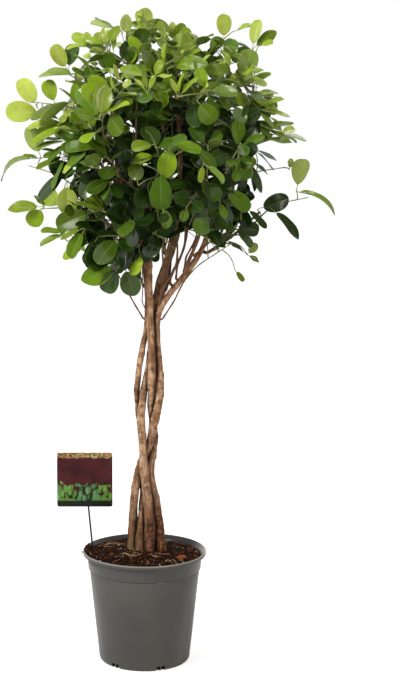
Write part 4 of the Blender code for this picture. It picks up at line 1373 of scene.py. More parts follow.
@dataclass(frozen=True)
class LeafFinish:
    """A glossy leaf: dark when old and lime when new, with a midrib, side veins and a pale margin."""

    name: str = "ficus_leaf"
    ages: tuple[tuple[float, Colour], ...] = (
        (0.00, (0.008, 0.027, 0.0015)), (0.26, (0.026, 0.066, 0.003)), (0.52, (0.075, 0.158, 0.004)),
        (0.76, (0.175, 0.290, 0.007)), (0.90, (0.260, 0.380, 0.016)), (1.00, (0.430, 0.530, 0.085)),
    )
    pale: Colour = (0.50, 0.58, 0.26)
    old_underside: Colour = (0.055, 0.110, 0.010)
    new_underside: Colour = (0.450, 0.580, 0.170)
    side_veins: float = 9.0
    vein_slant: float = 0.32

    def make(self) -> Material:
        """Make the material.

        Returns:
            The material.
        """
        b = Bench(bpy.data.materials.new(self.name))
        age, tone, under = b.mark("age"), b.mark("tone"), b.mark("under")
        along, across = b.mark("along"), abs(b.mark("across"))
        patches = b.noise(90.0, 4.0)
        colour = b.ramp(age + (patches - 0.5) * 0.24, self.ages)
        colour = b.mix(1.0, colour, b.grey(0.60 + tone * 0.76), "MULTIPLY")
        rib = b.ease(across, 0.015, 0.055, 1.0, 0.0) * b.ease(along, 0.4, 1.0, 1.0, 0.1)
        wave = b.math("SINE", (along - across * self.vein_slant) * (self.side_veins * math.tau))
        veins = b.ease(wave, 0.86, 1.0) * b.ease(across, 0.75, 0.95, 1.0, 0.0)
        colour = b.layers(
            colour,
            (rib * (0.05 + age * 0.40), self.pale),
            (veins * (0.03 + age * 0.12), self.pale),
            (b.ease(across, 0.93, 1.0) * (0.10 + age * 0.30), self.pale),
            (under * 0.60, b.mix(age * age, self.old_underside, self.new_underside)),
        )
        relief = veins * -0.4 - rib * 0.8 + b.noise(900.0) * 0.25
        return b.finish(
            Base_Color=colour, Roughness=0.16 + tone * 0.14 + patches * 0.08 + under * 0.30,
            Normal=b.bump(relief, 0.0004, 0.7), Specular_IOR_Level=0.12,
            Coat_Weight=b.ease(b.mark("gloss"), 0.45, 0.95, 0.0, 0.75) * (1.0 - under), Coat_Roughness=0.12,
        )


@dataclass(frozen=True)
class TwigFinish:
    """Young wood: red-brown at its foot, turning green at the tip and in the leaf stalks."""

    name: str = "ficus_twig"
    wood: Colour = (0.32, 0.155, 0.085)
    dark: Colour = (0.10, 0.043, 0.022)
    fresh: Colour = (0.38, 0.47, 0.15)
    deep_green: Colour = (0.15, 0.22, 0.05)

    def make(self) -> Material:
        """Make the material.

        Returns:
            The material.
        """
        b = Bench(bpy.data.materials.new(self.name))
        grain, fresh = b.noise(260.0, 5.0), b.mark("fresh")
        green = b.mix(grain * 0.6, self.fresh, self.deep_green)
        colour = b.mix(fresh, b.mix(grain, self.dark, self.wood), green)
        return b.finish(Base_Color=colour, Roughness=0.75 - fresh * 0.3, Normal=b.bump(grain, 0.0003, 0.6))


@dataclass(frozen=True)
class BarkFinish:
    """Stem bark: tan above, red and speckled at the foot's right, mossy at its left, with painted shade in
    the grooves where the stems meet.

    The spans are heights and places across, in metres, over which one look passes into another.
    """

    name: str = "ficus_bark"
    tan: Colour = (0.70, 0.455, 0.290)
    upper: Colour = (0.58, 0.335, 0.190)
    foot: Colour = (0.27, 0.120, 0.058)
    pale: Colour = (0.82, 0.590, 0.420)
    pore: Colour = (0.68, 0.48, 0.32)
    rotten: Colour = (0.060, 0.018, 0.010)
    raw: Colour = (0.400, 0.150, 0.085)
    russet: Colour = (0.26, 0.115, 0.052)
    shadow: Colour = (0.045, 0.020, 0.010)
    scar: Colour = (0.035, 0.015, 0.008)
    moss: Colour = (0.15, 0.150, 0.062)
    upper_from: Span = (0.46, 0.66)
    foot_top: Span = (0.21, 0.32)
    moss_top: Span = (0.22, 0.30)
    moss_side: Span = (0.004, 0.022)
    burl_top: Span = (0.225, 0.290)
    burl_side: Span = (-0.006, 0.014)
    pale_from: Span = (0.24, 0.34)
    split_top: Span = (0.22, 0.36)

    def make(self) -> Material:
        """Make the material.

        Returns:
            The material.
        """
        b = Bench(bpy.data.materials.new(self.name))
        side, height = b.part(b.place(), "X"), b.part(b.place(), "Z")
        blotches = b.noise(48.0, 5.0, 0.65)
        patches = b.noise(115.0, 6.0, 0.72)
        fibres = b.noise((420.0, 420.0, 45.0), 5.0, 0.6)
        streaks = b.noise((150.0, 150.0, 16.0), 4.0, 0.6)
        cracks = b.noise((230.0, 230.0, 30.0), 5.0, 0.65)
        bands = b.noise((70.0, 70.0, 560.0), 4.0, 0.6)
        pores = b.cells(330.0, (1.0, 1.0, 1.7))
        wander = height + (blotches - 0.5) * 0.12
        mossy = b.ease(b.noise(38.0), 0.42, 0.56) * b.ease(height, *self.moss_top, 0.85, 0.0)
        mossy = mossy * b.ease(side, *self.moss_side, 1.0, 0.0)
        pale = b.ease(b.noise(62.0, 5.0), 0.52, 0.66) * b.ease(height, *self.pale_from, 0.2, 0.75)
        burl = b.ease(wander, *self.burl_top, 0.95, 0.0) * b.ease(side, *self.burl_side)
        spots = b.ease(b.cells(190.0), 0.05, 0.16, 0.80, 0.0) * b.ease(b.noise(55.0), 0.54, 0.66)
        split = b.ease(cracks, 0.34, 0.46, 1.0, 0.0) * b.ease(height, *self.split_top, 0.80, 0.40)
        # painted shade in the grooves between the stems, from the mesh's nearness mark, broken up by noise
        crevice = b.mark("crevice") + (patches - 0.5) * 0.6
        colour = b.layers(
            self.tan,
            (b.ease(wander, *self.upper_from), self.upper),
            (b.ease(wander, *self.foot_top, 1.0, 0.0), self.foot),
            (mossy, self.moss),
            (pale, self.pale),
            (b.ease(blotches, 0.47, 0.60) * 0.80, self.russet),
            (b.ease(patches, 0.50, 0.60) * 0.60, self.russet),
            (b.ease(streaks, 0.50, 0.62) * 0.80, self.russet),
            (b.ease(b.noise(120.0, 6.0, 0.7), 0.58, 0.66) * 0.70, self.shadow),
            (burl * b.ease(b.noise(95.0, 4.0), 0.46, 0.60, 0.15, 0.85), self.raw),
            (burl * b.ease(b.noise(170.0, 5.0, 0.7), 0.45, 0.54), self.rotten),
            (spots, self.scar),
            (b.ease(fibres, 0.30, 0.52, 0.55, 0.0), self.russet),
            (b.ease(bands, 0.60, 0.72) * 0.40, self.shadow),
            (split, self.shadow),
            (b.ease(pores, 0.06, 0.20, 0.35, 0.0), self.pore),
            # painted shade in the grooves between the stems
            (b.ease(crevice, 0.06, 0.62, 0.0, 0.97), self.shadow),
            (b.mark("scar"), self.scar),
        )
        relief = fibres * 0.6 + blotches * 0.5 - bands * 0.3 - split * 0.8
        relief = relief - b.ease(pores, 0.05, 0.2, 0.3, 0.0)
        return b.finish(
            Base_Color=colour, Roughness=0.66 + fibres * 0.2, Normal=b.bump(relief, 0.0016),
            Specular_IOR_Level=0.25,
        )


@dataclass(frozen=True)
class LimbFinish:
    """Limb bark: red-brown, finely grained, darker than the stems'."""

    name: str = "ficus_limb_bark"
    light: Colour = (0.33, 0.150, 0.078)
    dark: Colour = (0.070, 0.026, 0.013)
    scar: Colour = (0.05, 0.024, 0.014)

    def make(self) -> Material:
        """Make the material.

        Returns:
            The material.
        """
        b = Bench(bpy.data.materials.new(self.name))
        fibres = b.noise((380.0, 380.0, 90.0), 5.0, 0.6)
        grain = fibres * 0.6 + b.noise(70.0, 4.0) * 0.4
        colour = b.layers(self.dark, (b.ease(grain, 0.35, 0.62), self.light), (b.mark("scar"), self.scar))
        return b.finish(Base_Color=colour, Roughness=0.68 + fibres * 0.2, Normal=b.bump(fibres, 0.0006, 0.8))


@dataclass(frozen=True)
class PotFinish:
    """Satin grey moulded plastic, faintly clouded and scuffed, dusty near the soil and the foot, with wear
    and a painted highlight on the lip's top edge, painted shade inside the lip at the back and left, and a
    painted shadow line under the lip.

    The spans are heights and distances from the pot's middle, in metres.
    """

    name: str = "grey_pot_plastic"
    grey: Colour = (0.062, 0.064, 0.061)
    cloud: Colour = (0.080, 0.077, 0.069)
    dust: Colour = (0.20, 0.17, 0.13)
    # the lip's top edge: lighter with wear and with a painted highlight where it catches the light
    worn_and_lit: Colour = (0.36, 0.325, 0.275)
    shaded: Colour = (0.018, 0.016, 0.014)
    foot_dust: Span = (0.0, 0.03)
    # where the painted shade on the inside of the lip lies: the radius inside which, the height above which,
    # and the span towards the back and left
    lip_dust: Span = (0.182, 0.191)
    lip_inside: Span = (0.1032, 0.1040)
    inside_from: Span = (0.170, 0.176)
    inside_shade: Span = (-0.05, 0.02)
    # the heights over which the lip's top edge turns lighter, with wear and a painted highlight
    lip_wear_and_highlight: Span = (0.1868, 0.1897)
    # the painted shadow line under the lip: its height, how far from it it fades, and the radius outside
    # which it shows
    under_lip_shadow_height: float = 0.1834
    under_lip_shadow_width: Span = (0.0003, 0.0009)
    under_lip_shadow_from: Span = (0.0968, 0.0972)

    def make(self) -> Material:
        """Make the material.

        Returns:
            The material.
        """
        b = Bench(bpy.data.materials.new(self.name))
        x, y, height = (b.part(b.place(), axis) for axis in "XYZ")
        out = b.length(b.stretch((1.0, 1.0, 0.0)))
        clouds, flow = b.noise(14.0, 4.0), b.noise((120.0, 120.0, 9.0))
        dusty = b.ease(height, *self.foot_dust, 0.22, 0.0) + b.ease(height, *self.lip_dust, 0.0, 0.14)
        # painted shade on the inside wall above the soil, deepest at the back and on the left
        inside = b.ease(out, *self.lip_inside, 1.0, 0.0) * b.ease(height, *self.inside_from)
        inside = inside * b.ease(y - x * 0.5, *self.inside_shade)
        # painted shadow: a thin dark line just under the lip
        under_lip_shadow = b.ease(abs(height - self.under_lip_shadow_height), *self.under_lip_shadow_width, 0.55, 0.0)
        colour = b.layers(
            self.grey,
            (b.ease(clouds, 0.3, 0.7), self.cloud),
            (dusty * b.noise(130.0, 5.0), self.dust),
            (b.ease(b.noise(520.0, 2.0), 0.66, 0.78) * 0.18, self.dust),
            # painted shade inside the lip
            (inside * 0.75, self.shaded),
            # the lip's top edge: wear and a painted highlight
            (b.ease(height, *self.lip_wear_and_highlight, 0.0, 0.85) * (1.0 - inside), self.worn_and_lit),
            # the painted shadow line under the lip, on the outside only
            (under_lip_shadow * b.ease(out, *self.under_lip_shadow_from), self.shaded),
        )
        scuffs = b.ease(b.noise((60.0, 60.0, 500.0), 4.0), 0.62, 0.8)
        grain = b.noise(1500.0, 2.0) * 0.35 + flow * 0.25 + scuffs * 0.2
        return b.finish(
            Base_Color=colour, Roughness=0.26 + clouds * 0.10 + scuffs * 0.10 + flow * 0.05,
            Normal=b.bump(grain, 0.00025, 0.35), Specular_IOR_Level=0.30,
            Coat_Weight=(1.0 - inside) * 0.65, Coat_Roughness=0.18,
        )


@dataclass(frozen=True)
class SoilFinish:
    """Peat and bark mix: nearly black, with red-brown fibres and crumbs."""

    name: str = "potting_mix"
    dark: Colour = (0.006, 0.004, 0.003)
    brown: Colour = (0.032, 0.014, 0.007)
    red: Colour = (0.100, 0.034, 0.013)
    crumb_scale: float = 210.0

    def make(self) -> Material:
        """Make the material.

        Returns:
            The material.
        """
        b = Bench(bpy.data.materials.new(self.name))
        crumbs, tint = b.cells(self.crumb_scale), b.cells(self.crumb_scale, output="Color")
        fine = b.noise(480.0, 5.0, 0.7)
        reddish = b.ease(b.part(tint, "X"), 0.70, 0.90) * b.ease(crumbs, 0.2, 0.6, 1.0, 0.2)
        colour = b.layers(self.dark, (b.ease(fine, 0.45, 0.75), self.brown), (reddish * 0.75, self.red))
        return b.finish(
            Base_Color=colour, Roughness=0.80 + fine * 0.15, Normal=b.bump(fine * 0.6 - crumbs * 0.5, 0.0022),
            Specular_IOR_Level=0.05,
        )


@dataclass(frozen=True)
class CrumbFinish:
    """Bits in the mix, each with a tone of its own between two colours, and a grain."""

    name: str
    light: Colour
    dark: Colour
    grain: float = 300.0
    relief: float = 0.0007

    def make(self) -> Material:
        """Make the material.

        Returns:
            The material.
        """
        b = Bench(bpy.data.materials.new(self.name))
        grain = b.noise(self.grain, 5.0, 0.65)
        return b.finish(
            Base_Color=b.mix(b.mark("tone") * 0.84 + grain * 0.14, self.dark, self.light),
            Roughness=0.72 + grain * 0.2, Normal=b.bump(grain, self.relief, 0.9), Specular_IOR_Level=0.08,
        )


@dataclass(frozen=True)
class CardFinish:
    """A printed card: a ragged mottled band on top of plain maroon, and small leaves on near black below.

    The spans are shares of the card's height.
    """

    name: str
    corner: Place
    size: tuple[float, float]
    tan: Colour = (0.60, 0.46, 0.22)
    rust: Colour = (0.12, 0.070, 0.020)
    rose: Colour = (0.62, 0.22, 0.15)
    maroon: Colour = (0.042, 0.007, 0.009)
    wine: Colour = (0.080, 0.013, 0.015)
    ground: Colour = (0.010, 0.014, 0.007)
    leaf: Colour = (0.030, 0.120, 0.035)
    bright: Colour = (0.120, 0.330, 0.120)
    lime: Colour = (0.150, 0.310, 0.025)
    gleam: Colour = (0.52, 0.68, 0.46)
    band_foot: Span = (0.885, 0.905)
    ground_top: Span = (0.15, 0.34)
    leaves_foot: Span = (0.100, 0.125)
    leaves_top: float = 0.43

    def make(self) -> Material:
        """Make the material.

        Returns:
            The material.
        """
        b = Bench(bpy.data.materials.new(self.name))
        across = (b.part(b.place(), "X") - self.corner[0]) / self.size[0]
        up = (b.part(b.place(), "Z") - self.corner[2]) / self.size[1]
        mottle = b.noise(330.0, 5.0, 0.65)
        ragged = (b.noise((260.0, 260.0, 90.0)) - 0.5) * 0.10
        band = b.layers(
            self.rust, (b.ease(mottle, 0.46, 0.58), self.tan),
            (b.ease(b.noise(90.0), 0.50, 0.62) * 0.5, self.rose),
        )
        top = self.leaves_top + (b.noise((75.0, 75.0, 1.0), 2.0) - 0.5) * 0.32
        cover, green = self.foliage(b, across)
        colour = b.layers(
            self.maroon,
            (b.ease(b.noise(60.0, 4.0), 0.35, 0.7), self.wine),
            (b.ease(up + ragged, *self.band_foot), band),
            (b.ease(up, *self.ground_top, 1.0, 0.0), self.ground),
            (cover * b.ease(up - top, -0.012, 0.0, 1.0, 0.0) * b.ease(up, *self.leaves_foot), green),
        )
        return b.finish(
            Base_Color=colour, Roughness=0.32 + mottle * 0.08, Normal=b.bump(mottle, 0.00008, 0.3),
            Specular_IOR_Level=0.20,
        )

    def foliage(self, b: Bench, across: Wire) -> tuple[Wire, Wire]:
        """A plain pattern of small overlapping leaves.

        Args:
            b: The material's bench.
            across: The place across the card, from 0 to 1.

        Returns:
            Where there is a leaf, and its colour there.
        """
        spread = (165.0, 165.0, 85.0)
        middle = b.cells(1.0, spread)
        tone = b.part(b.cells(1.0, spread, "Color"), "X")
        green = b.layers(
            self.leaf,
            (b.ease(tone, 0.1, 0.9), self.bright),
            (b.ease(b.math("SINE", across * 9.0), -0.2, 0.8, 0.0, 0.6), self.lime),
            (b.ease(middle, 0.02, 0.20, 0.65, 0.0) * b.ease(tone, 0.35, 0.6), self.gleam),
        )
        return b.ease(middle, 0.50, 0.66, 1.0, 0.0), green


@dataclass(frozen=True)
class StakeFinish:
    """Black moulded plastic with a soft grain."""

    name: str = "black_stake_plastic"
    dark: Colour = (0.008, 0.008, 0.009)
    light: Colour = (0.020, 0.020, 0.021)

    def make(self) -> Material:
        """Make the material.

        Returns:
            The material.
        """
        b = Bench(bpy.data.materials.new(self.name))
        grain = b.noise(900.0)
        colour = b.mix(grain, self.dark, self.light)
        return b.finish(Base_Color=colour, Roughness=0.35 + grain * 0.15, Normal=b.bump(grain, 0.0001, 0.4))


# ---------------------------------------------------------------- mesh tools


class Skin:
    """Points, faces and marks of a mesh as it is put together."""

    def __init__(self) -> None:
        """Start empty."""
        self.points: list[np.ndarray] = []
        self.faces: Faces = []
        self.slots: list[int] = []
        self.marks: dict[str, list[np.ndarray]] = {}
        self.count = 0

    def add(self, points: np.ndarray, faces: Faces, slot: int = 0, **marks: Any) -> None:
        """Add a closed shape.

        Args:
            points: Its points, one row each.
            faces: Its faces, by point number.
            slot: Its material's number on the piece.
            marks: Values for the shader, one for all points or one for each.
        """
        self.faces += [tuple(index + self.count for index in face) for face in faces]
        self.slots += [slot] * len(faces)
        for name in set(marks) | set(self.marks):
            values = np.broadcast_to(np.asarray(marks.get(name, 0.0), float), len(points))
            self.marks.setdefault(name, [np.zeros(self.count)]).append(values)
        self.points.append(points)
        self.count += len(points)

    def to_piece(self, name: str, materials: list[Material], *nodes: str, slot: str) -> Piece:
        """Make the piece.

        Args:
            name: The piece's name.
            materials: Its materials, by slot number.
            nodes: The frame's nodes that it stands for.
            slot: The record's material slot.

        Returns:
            The object, riding on the frame.
        """
        mesh = bpy.data.meshes.new(name)
        mesh.from_pydata(np.vstack(self.points).tolist(), [], self.faces)
        for mark, values in self.marks.items():
            mesh.attributes.new(mark, "FLOAT", "POINT").data.foreach_set("value", np.concatenate(values))
        for material in materials:
            mesh.materials.append(material)
        mesh.polygons.foreach_set("material_index", self.slots)
        mesh.shade_smooth()
        mesh.update()
        return mount(bpy.data.objects.new(name, mesh), *nodes, slot=slot)


def mount(thing: Piece, *nodes: str, slot: str) -> Piece:
    """Put a piece in the scene, on the frame, in place of its nodes.

    Args:
        thing: The piece.
        nodes: The frame's nodes that it stands for.
        slot: The record's material slot; not used.

    Returns:
        The piece.
    """
    if thing.name not in bpy.context.scene.collection.objects:
        bpy.context.scene.collection.objects.link(thing)
    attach(thing, "root")
    if nodes:
        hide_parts(*nodes)
    return thing


def frames_along(path: np.ndarray) -> tuple[np.ndarray, np.ndarray]:
    """Two directions square to a path at each of its points, which turn with it and never twist.

    Args:
        path: The path's points.

    Returns:
        The first and the second directions.
    """
    tangents = np.gradient(path, axis=0)
    tangents /= np.linalg.norm(tangents, axis=1)[:, None]
    first = np.empty_like(path)
    start = np.array(Vector(tangents[0]).orthogonal().normalized())
    for index, tangent in enumerate(tangents):
        start = start - tangent * start.dot(tangent)
        start /= np.linalg.norm(start)
        first[index] = start
    return first, np.cross(tangents, first)


def directions_round(path: np.ndarray, sides: int) -> np.ndarray:
    """The directions square to a path, all round each of its points.

    Args:
        path: The points along it.
        sides: The number of directions round each.

    Returns:
        Unit vectors, one row for each point and one column for each side.
    """
    first, second = frames_along(path)
    angles = np.arange(sides)[:, None] * math.tau / sides
    return first[:, None] * np.cos(angles) + second[:, None] * np.sin(angles)


def prism_faces(layers: int, corners: int) -> Faces:
    """The faces of a closed prism, its ends flat.

    Args:
        layers: The number of layers of points.
        corners: The number of points in each.

    Returns:
        The faces, by point number.
    """
    top = (layers - 1) * corners
    faces: Faces = [tuple(range(corners)), tuple(reversed(range(top, top + corners)))]
    for layer in range(layers - 1):
        for corner in range(corners):
            a, b = layer * corners + corner, layer * corners + (corner + 1) % corners
            faces.append((b, a, a + corners, b + corners))
    return faces


def sweep(path: np.ndarray, radii: np.ndarray, sides: int) -> tuple[np.ndarray, Faces]:
    """A closed round skin along a path.

    Args:
        path: The points along its middle.
        radii: A radius for each point, or a row of them, one for each side.
        sides: The number of sides.

    Returns:
        The points and the faces.
    """
    rings = len(path)
    radii = np.broadcast_to(np.reshape(radii, (rings, -1)), (rings, sides))
    points = (path[:, None] + directions_round(path, sides) * radii[..., None]).reshape(-1, 3)
    points = np.vstack((points, path[0], path[-1]))
    faces: Faces = []
    for ring in range(rings - 1):
        for side in range(sides):
            a, b = ring * sides + side, ring * sides + (side + 1) % sides
            faces.append((a, b, b + sides, a + sides))
    last = (rings - 1) * sides
    for side in range(sides):
        after = (side + 1) % sides
        faces.append((rings * sides, after, side))
        faces.append((rings * sides + 1, last + side, last + after))
    return points, faces


def ripple(points: np.ndarray, size: float, shift: float = 0.0) -> np.ndarray:
    """Smooth noise from about -1 to 1 at each point, its features a size apart."""
    scaled = points.reshape(-1, 3) / size + shift
    return np.array([noise.noise(Vector(point)) for point in scaled]).reshape(points.shape[:-1])


# ---------------------------------------------------------------- the pot, its soil and its label


@dataclass
class NurseryPot:
    """The moulded pot: a turned wall with a rolled lip, a collar, a rounded foot and drain notches."""

    height: float = 0.190
    lip_radius: float = 0.105
    wall: float = 0.0018
    floor: float = 0.0022
    foot_top: float = 0.012
    foot_radius: float = 0.0783
    body_top: float = 0.157
    body_top_radius: float = 0.0938
    collar_foot: float = 0.160
    collar_foot_radius: float = 0.0957
    collar_top: float = 0.183
    lip_foot: float = 0.1835
    collar_top_radius: float = 0.0977
    # (height, radius) of the inside where it flares out to the lip
    flare: tuple[Span, ...] = (
        (0.1830, 0.0959), (0.1850, 0.0976), (0.1868, 0.0998),
        (0.1884, 0.1018), (0.1895, 0.1030), (0.1900, 0.1037),
    )
    steps: int = 160
    notches: int = 6
    first_notch: float = -129.5
    notch_size: Place = (0.016, 0.015, 0.0170)
    notch_rib: float = 0.0018
    notch_round: float = 0.0012

    def inner_radius(self, height: float) -> float:
        """The inside radius at a height below the collar's top.

        Args:
            height: A height between the floor and the lip.

        Returns:
            The radius.
        """
        if height > self.collar_top:
            return float(np.interp(height, *zip(*self.flare)))
        foot, top, low, high = self.foot_top, self.body_top, self.foot_radius, self.body_top_radius
        if height >= self.body_top:
            foot, top = self.collar_foot, self.collar_top
            low, high = self.collar_foot_radius, self.collar_top_radius
        return low + (height - foot) / (top - foot) * (high - low) - self.wall

    def profile(self) -> list[tuple[float, float]]:
        """The wall's section, from the middle of the floor inside, over the lip, to the middle below.

        Returns:
            A (radius, height) for each point.
        """
        r, lip, top = self.foot_radius, self.lip_radius, self.height
        inside = [
            (0.0, self.floor), (r - 0.012, self.floor), (r - 0.0060, self.floor + 0.0002),
            (r - 0.0040, 0.0030), (r - 0.0026, 0.0050), (self.inner_radius(self.foot_top), self.foot_top),
            (self.inner_radius(0.060), 0.060), (self.inner_radius(0.110), 0.110),
            (self.inner_radius(self.body_top - 0.001), self.body_top - 0.001),
            (self.inner_radius(self.collar_foot), self.collar_foot),
            *((radius, height) for height, radius in self.flare),
        ]
        bead = [
            (lip - 0.0006, top), (lip - 0.0002, top - 0.0002), (lip, top - 0.0008),
            (lip - 0.0001, self.lip_foot + 0.0008), (lip - 0.0004, self.lip_foot + 0.0002),
            (lip - 0.0010, self.lip_foot), (lip - 0.0020, self.lip_foot + 0.0002),
            (lip - 0.0026, self.lip_foot + 0.0012),
            (self.collar_top_radius + 0.0026, self.lip_foot + 0.0016),
            (self.collar_top_radius + 0.0006, self.lip_foot + 0.0012),
            (self.collar_top_radius + 0.0002, self.lip_foot + 0.0004),
        ]
        outside = [
            (self.collar_top_radius - 0.0001, self.collar_top - 0.0016),
            (self.collar_foot_radius + 0.0006, self.collar_foot + 0.0040),
            (self.collar_foot_radius + 0.0004, self.collar_foot + 0.0034),
            (self.collar_foot_radius + 0.0005, self.collar_foot + 0.0012),
            (self.collar_foot_radius + 0.0002, self.collar_foot),
            (self.collar_foot_radius - 0.0004, self.collar_foot - 0.0004),
            (self.body_top_radius - 0.0006, self.collar_foot - 0.0006),
            (self.body_top_radius - 0.0009, self.body_top + 0.0014),
            (self.body_top_radius - 0.0005, self.body_top + 0.0004),
            (self.body_top_radius - 0.0001, self.body_top - 0.0010),
            (self.outer_radius(0.110), 0.110), (self.outer_radius(0.060), 0.060),
            (r, self.foot_top), (r - 0.0002, 0.0080), (r - 0.0008, 0.0046), (r - 0.0018, 0.0020),
            (r - 0.0034, 0.0005), (r - 0.0056, 0.0), (r - 0.0100, 0.0), (r - 0.0106, 0.0012), (0.0, 0.0012),
        ]
        return inside + bead + outside

    def outer_radius(self, height: float) -> float:
        """The outside radius at a height on the body."""
        return self.inner_radius(height) + self.wall

    def build(self) -> Piece:
        """Turn the wall, cut the notches and dress it.

        Returns:
            The piece.
        """
        profile = self.profile()
        skin = Skin()
        rows = np.array(profile[1:-1])
        angles = np.arange(self.steps) * math.tau / self.steps
        ring = np.stack((np.cos(angles), np.sin(angles)), axis=1)
        points = np.concatenate(
            [np.column_stack((ring * radius, np.full(self.steps, height))) for radius, height in rows]
            + [np.array([(0.0, 0.0, profile[0][1]), (0.0, 0.0, profile[-1][1])])]
        )
        faces: Faces = []
        last = (len(rows) - 1) * self.steps
        middle, below = len(points) - 2, len(points) - 1
        for step in range(self.steps):
            after = (step + 1) % self.steps
            for row in range(len(rows) - 1):
                a, b = row * self.steps + step, row * self.steps + after
                faces.append((a, b, b + self.steps, a + self.steps)[::-1])
            faces.append((middle, step, after))
            faces.append((below, last + after, last + step))
        skin.add(points, faces)
        pot = skin.to_piece("nursery_pot", [PotFinish().make()], "pot", slot="pot_plastic")
        self.cut_notches(pot)
        return pot

    def cut_notches(self, pot: Piece) -> None:
        """Cut each drain notch out of the foot, a thin rib left standing in its middle.

        Args:
            pot: The pot, whose mesh is replaced by the cut one.
        """
        cutter_mesh = bpy.data.meshes.new("notch_cutter")
        shape = bmesh.new()
        for number in range(self.notches):
            angle = math.radians(self.first_notch + 360.0 * number / self.notches)
            for side in (-1, 1):
                width = (self.notch_size[1] - self.notch_rib) / 2
                turn = Matrix.Rotation(angle, 4, "Z")
                place = Matrix.Translation((self.foot_radius, side * (width + self.notch_rib) / 2, 0.0))
                size = Matrix.Diagonal((self.notch_size[0], width, self.notch_size[2], 1.0))
                cube = bmesh.ops.create_cube(shape, size=1.0, matrix=turn @ place @ size)
                edges = list({edge for vert in cube["verts"] for edge in vert.link_edges})
                bmesh.ops.bevel(
                    shape, geom=edges, offset=self.notch_round, segments=3, affect="EDGES", profile=0.5
                )
        shape.to_mesh(cutter_mesh)
        shape.free()
        cutter = bpy.data.objects.new("notch_cutter", cutter_mesh)
        bpy.context.scene.collection.objects.link(cutter)
        cut = pot.modifiers.new("drain_notches", "BOOLEAN")
        cut.operation, cut.solver, cut.object = "DIFFERENCE", "EXACT", cutter
        graph = bpy.context.evaluated_depsgraph_get()
        whole = bpy.data.meshes.new_from_object(pot.evaluated_get(graph))
        pot.modifiers.clear()
        pot.data = whole
        whole.set_sharp_from_angle(angle=math.radians(40.0))
        bpy.data.objects.remove(cutter, do_unlink=True)


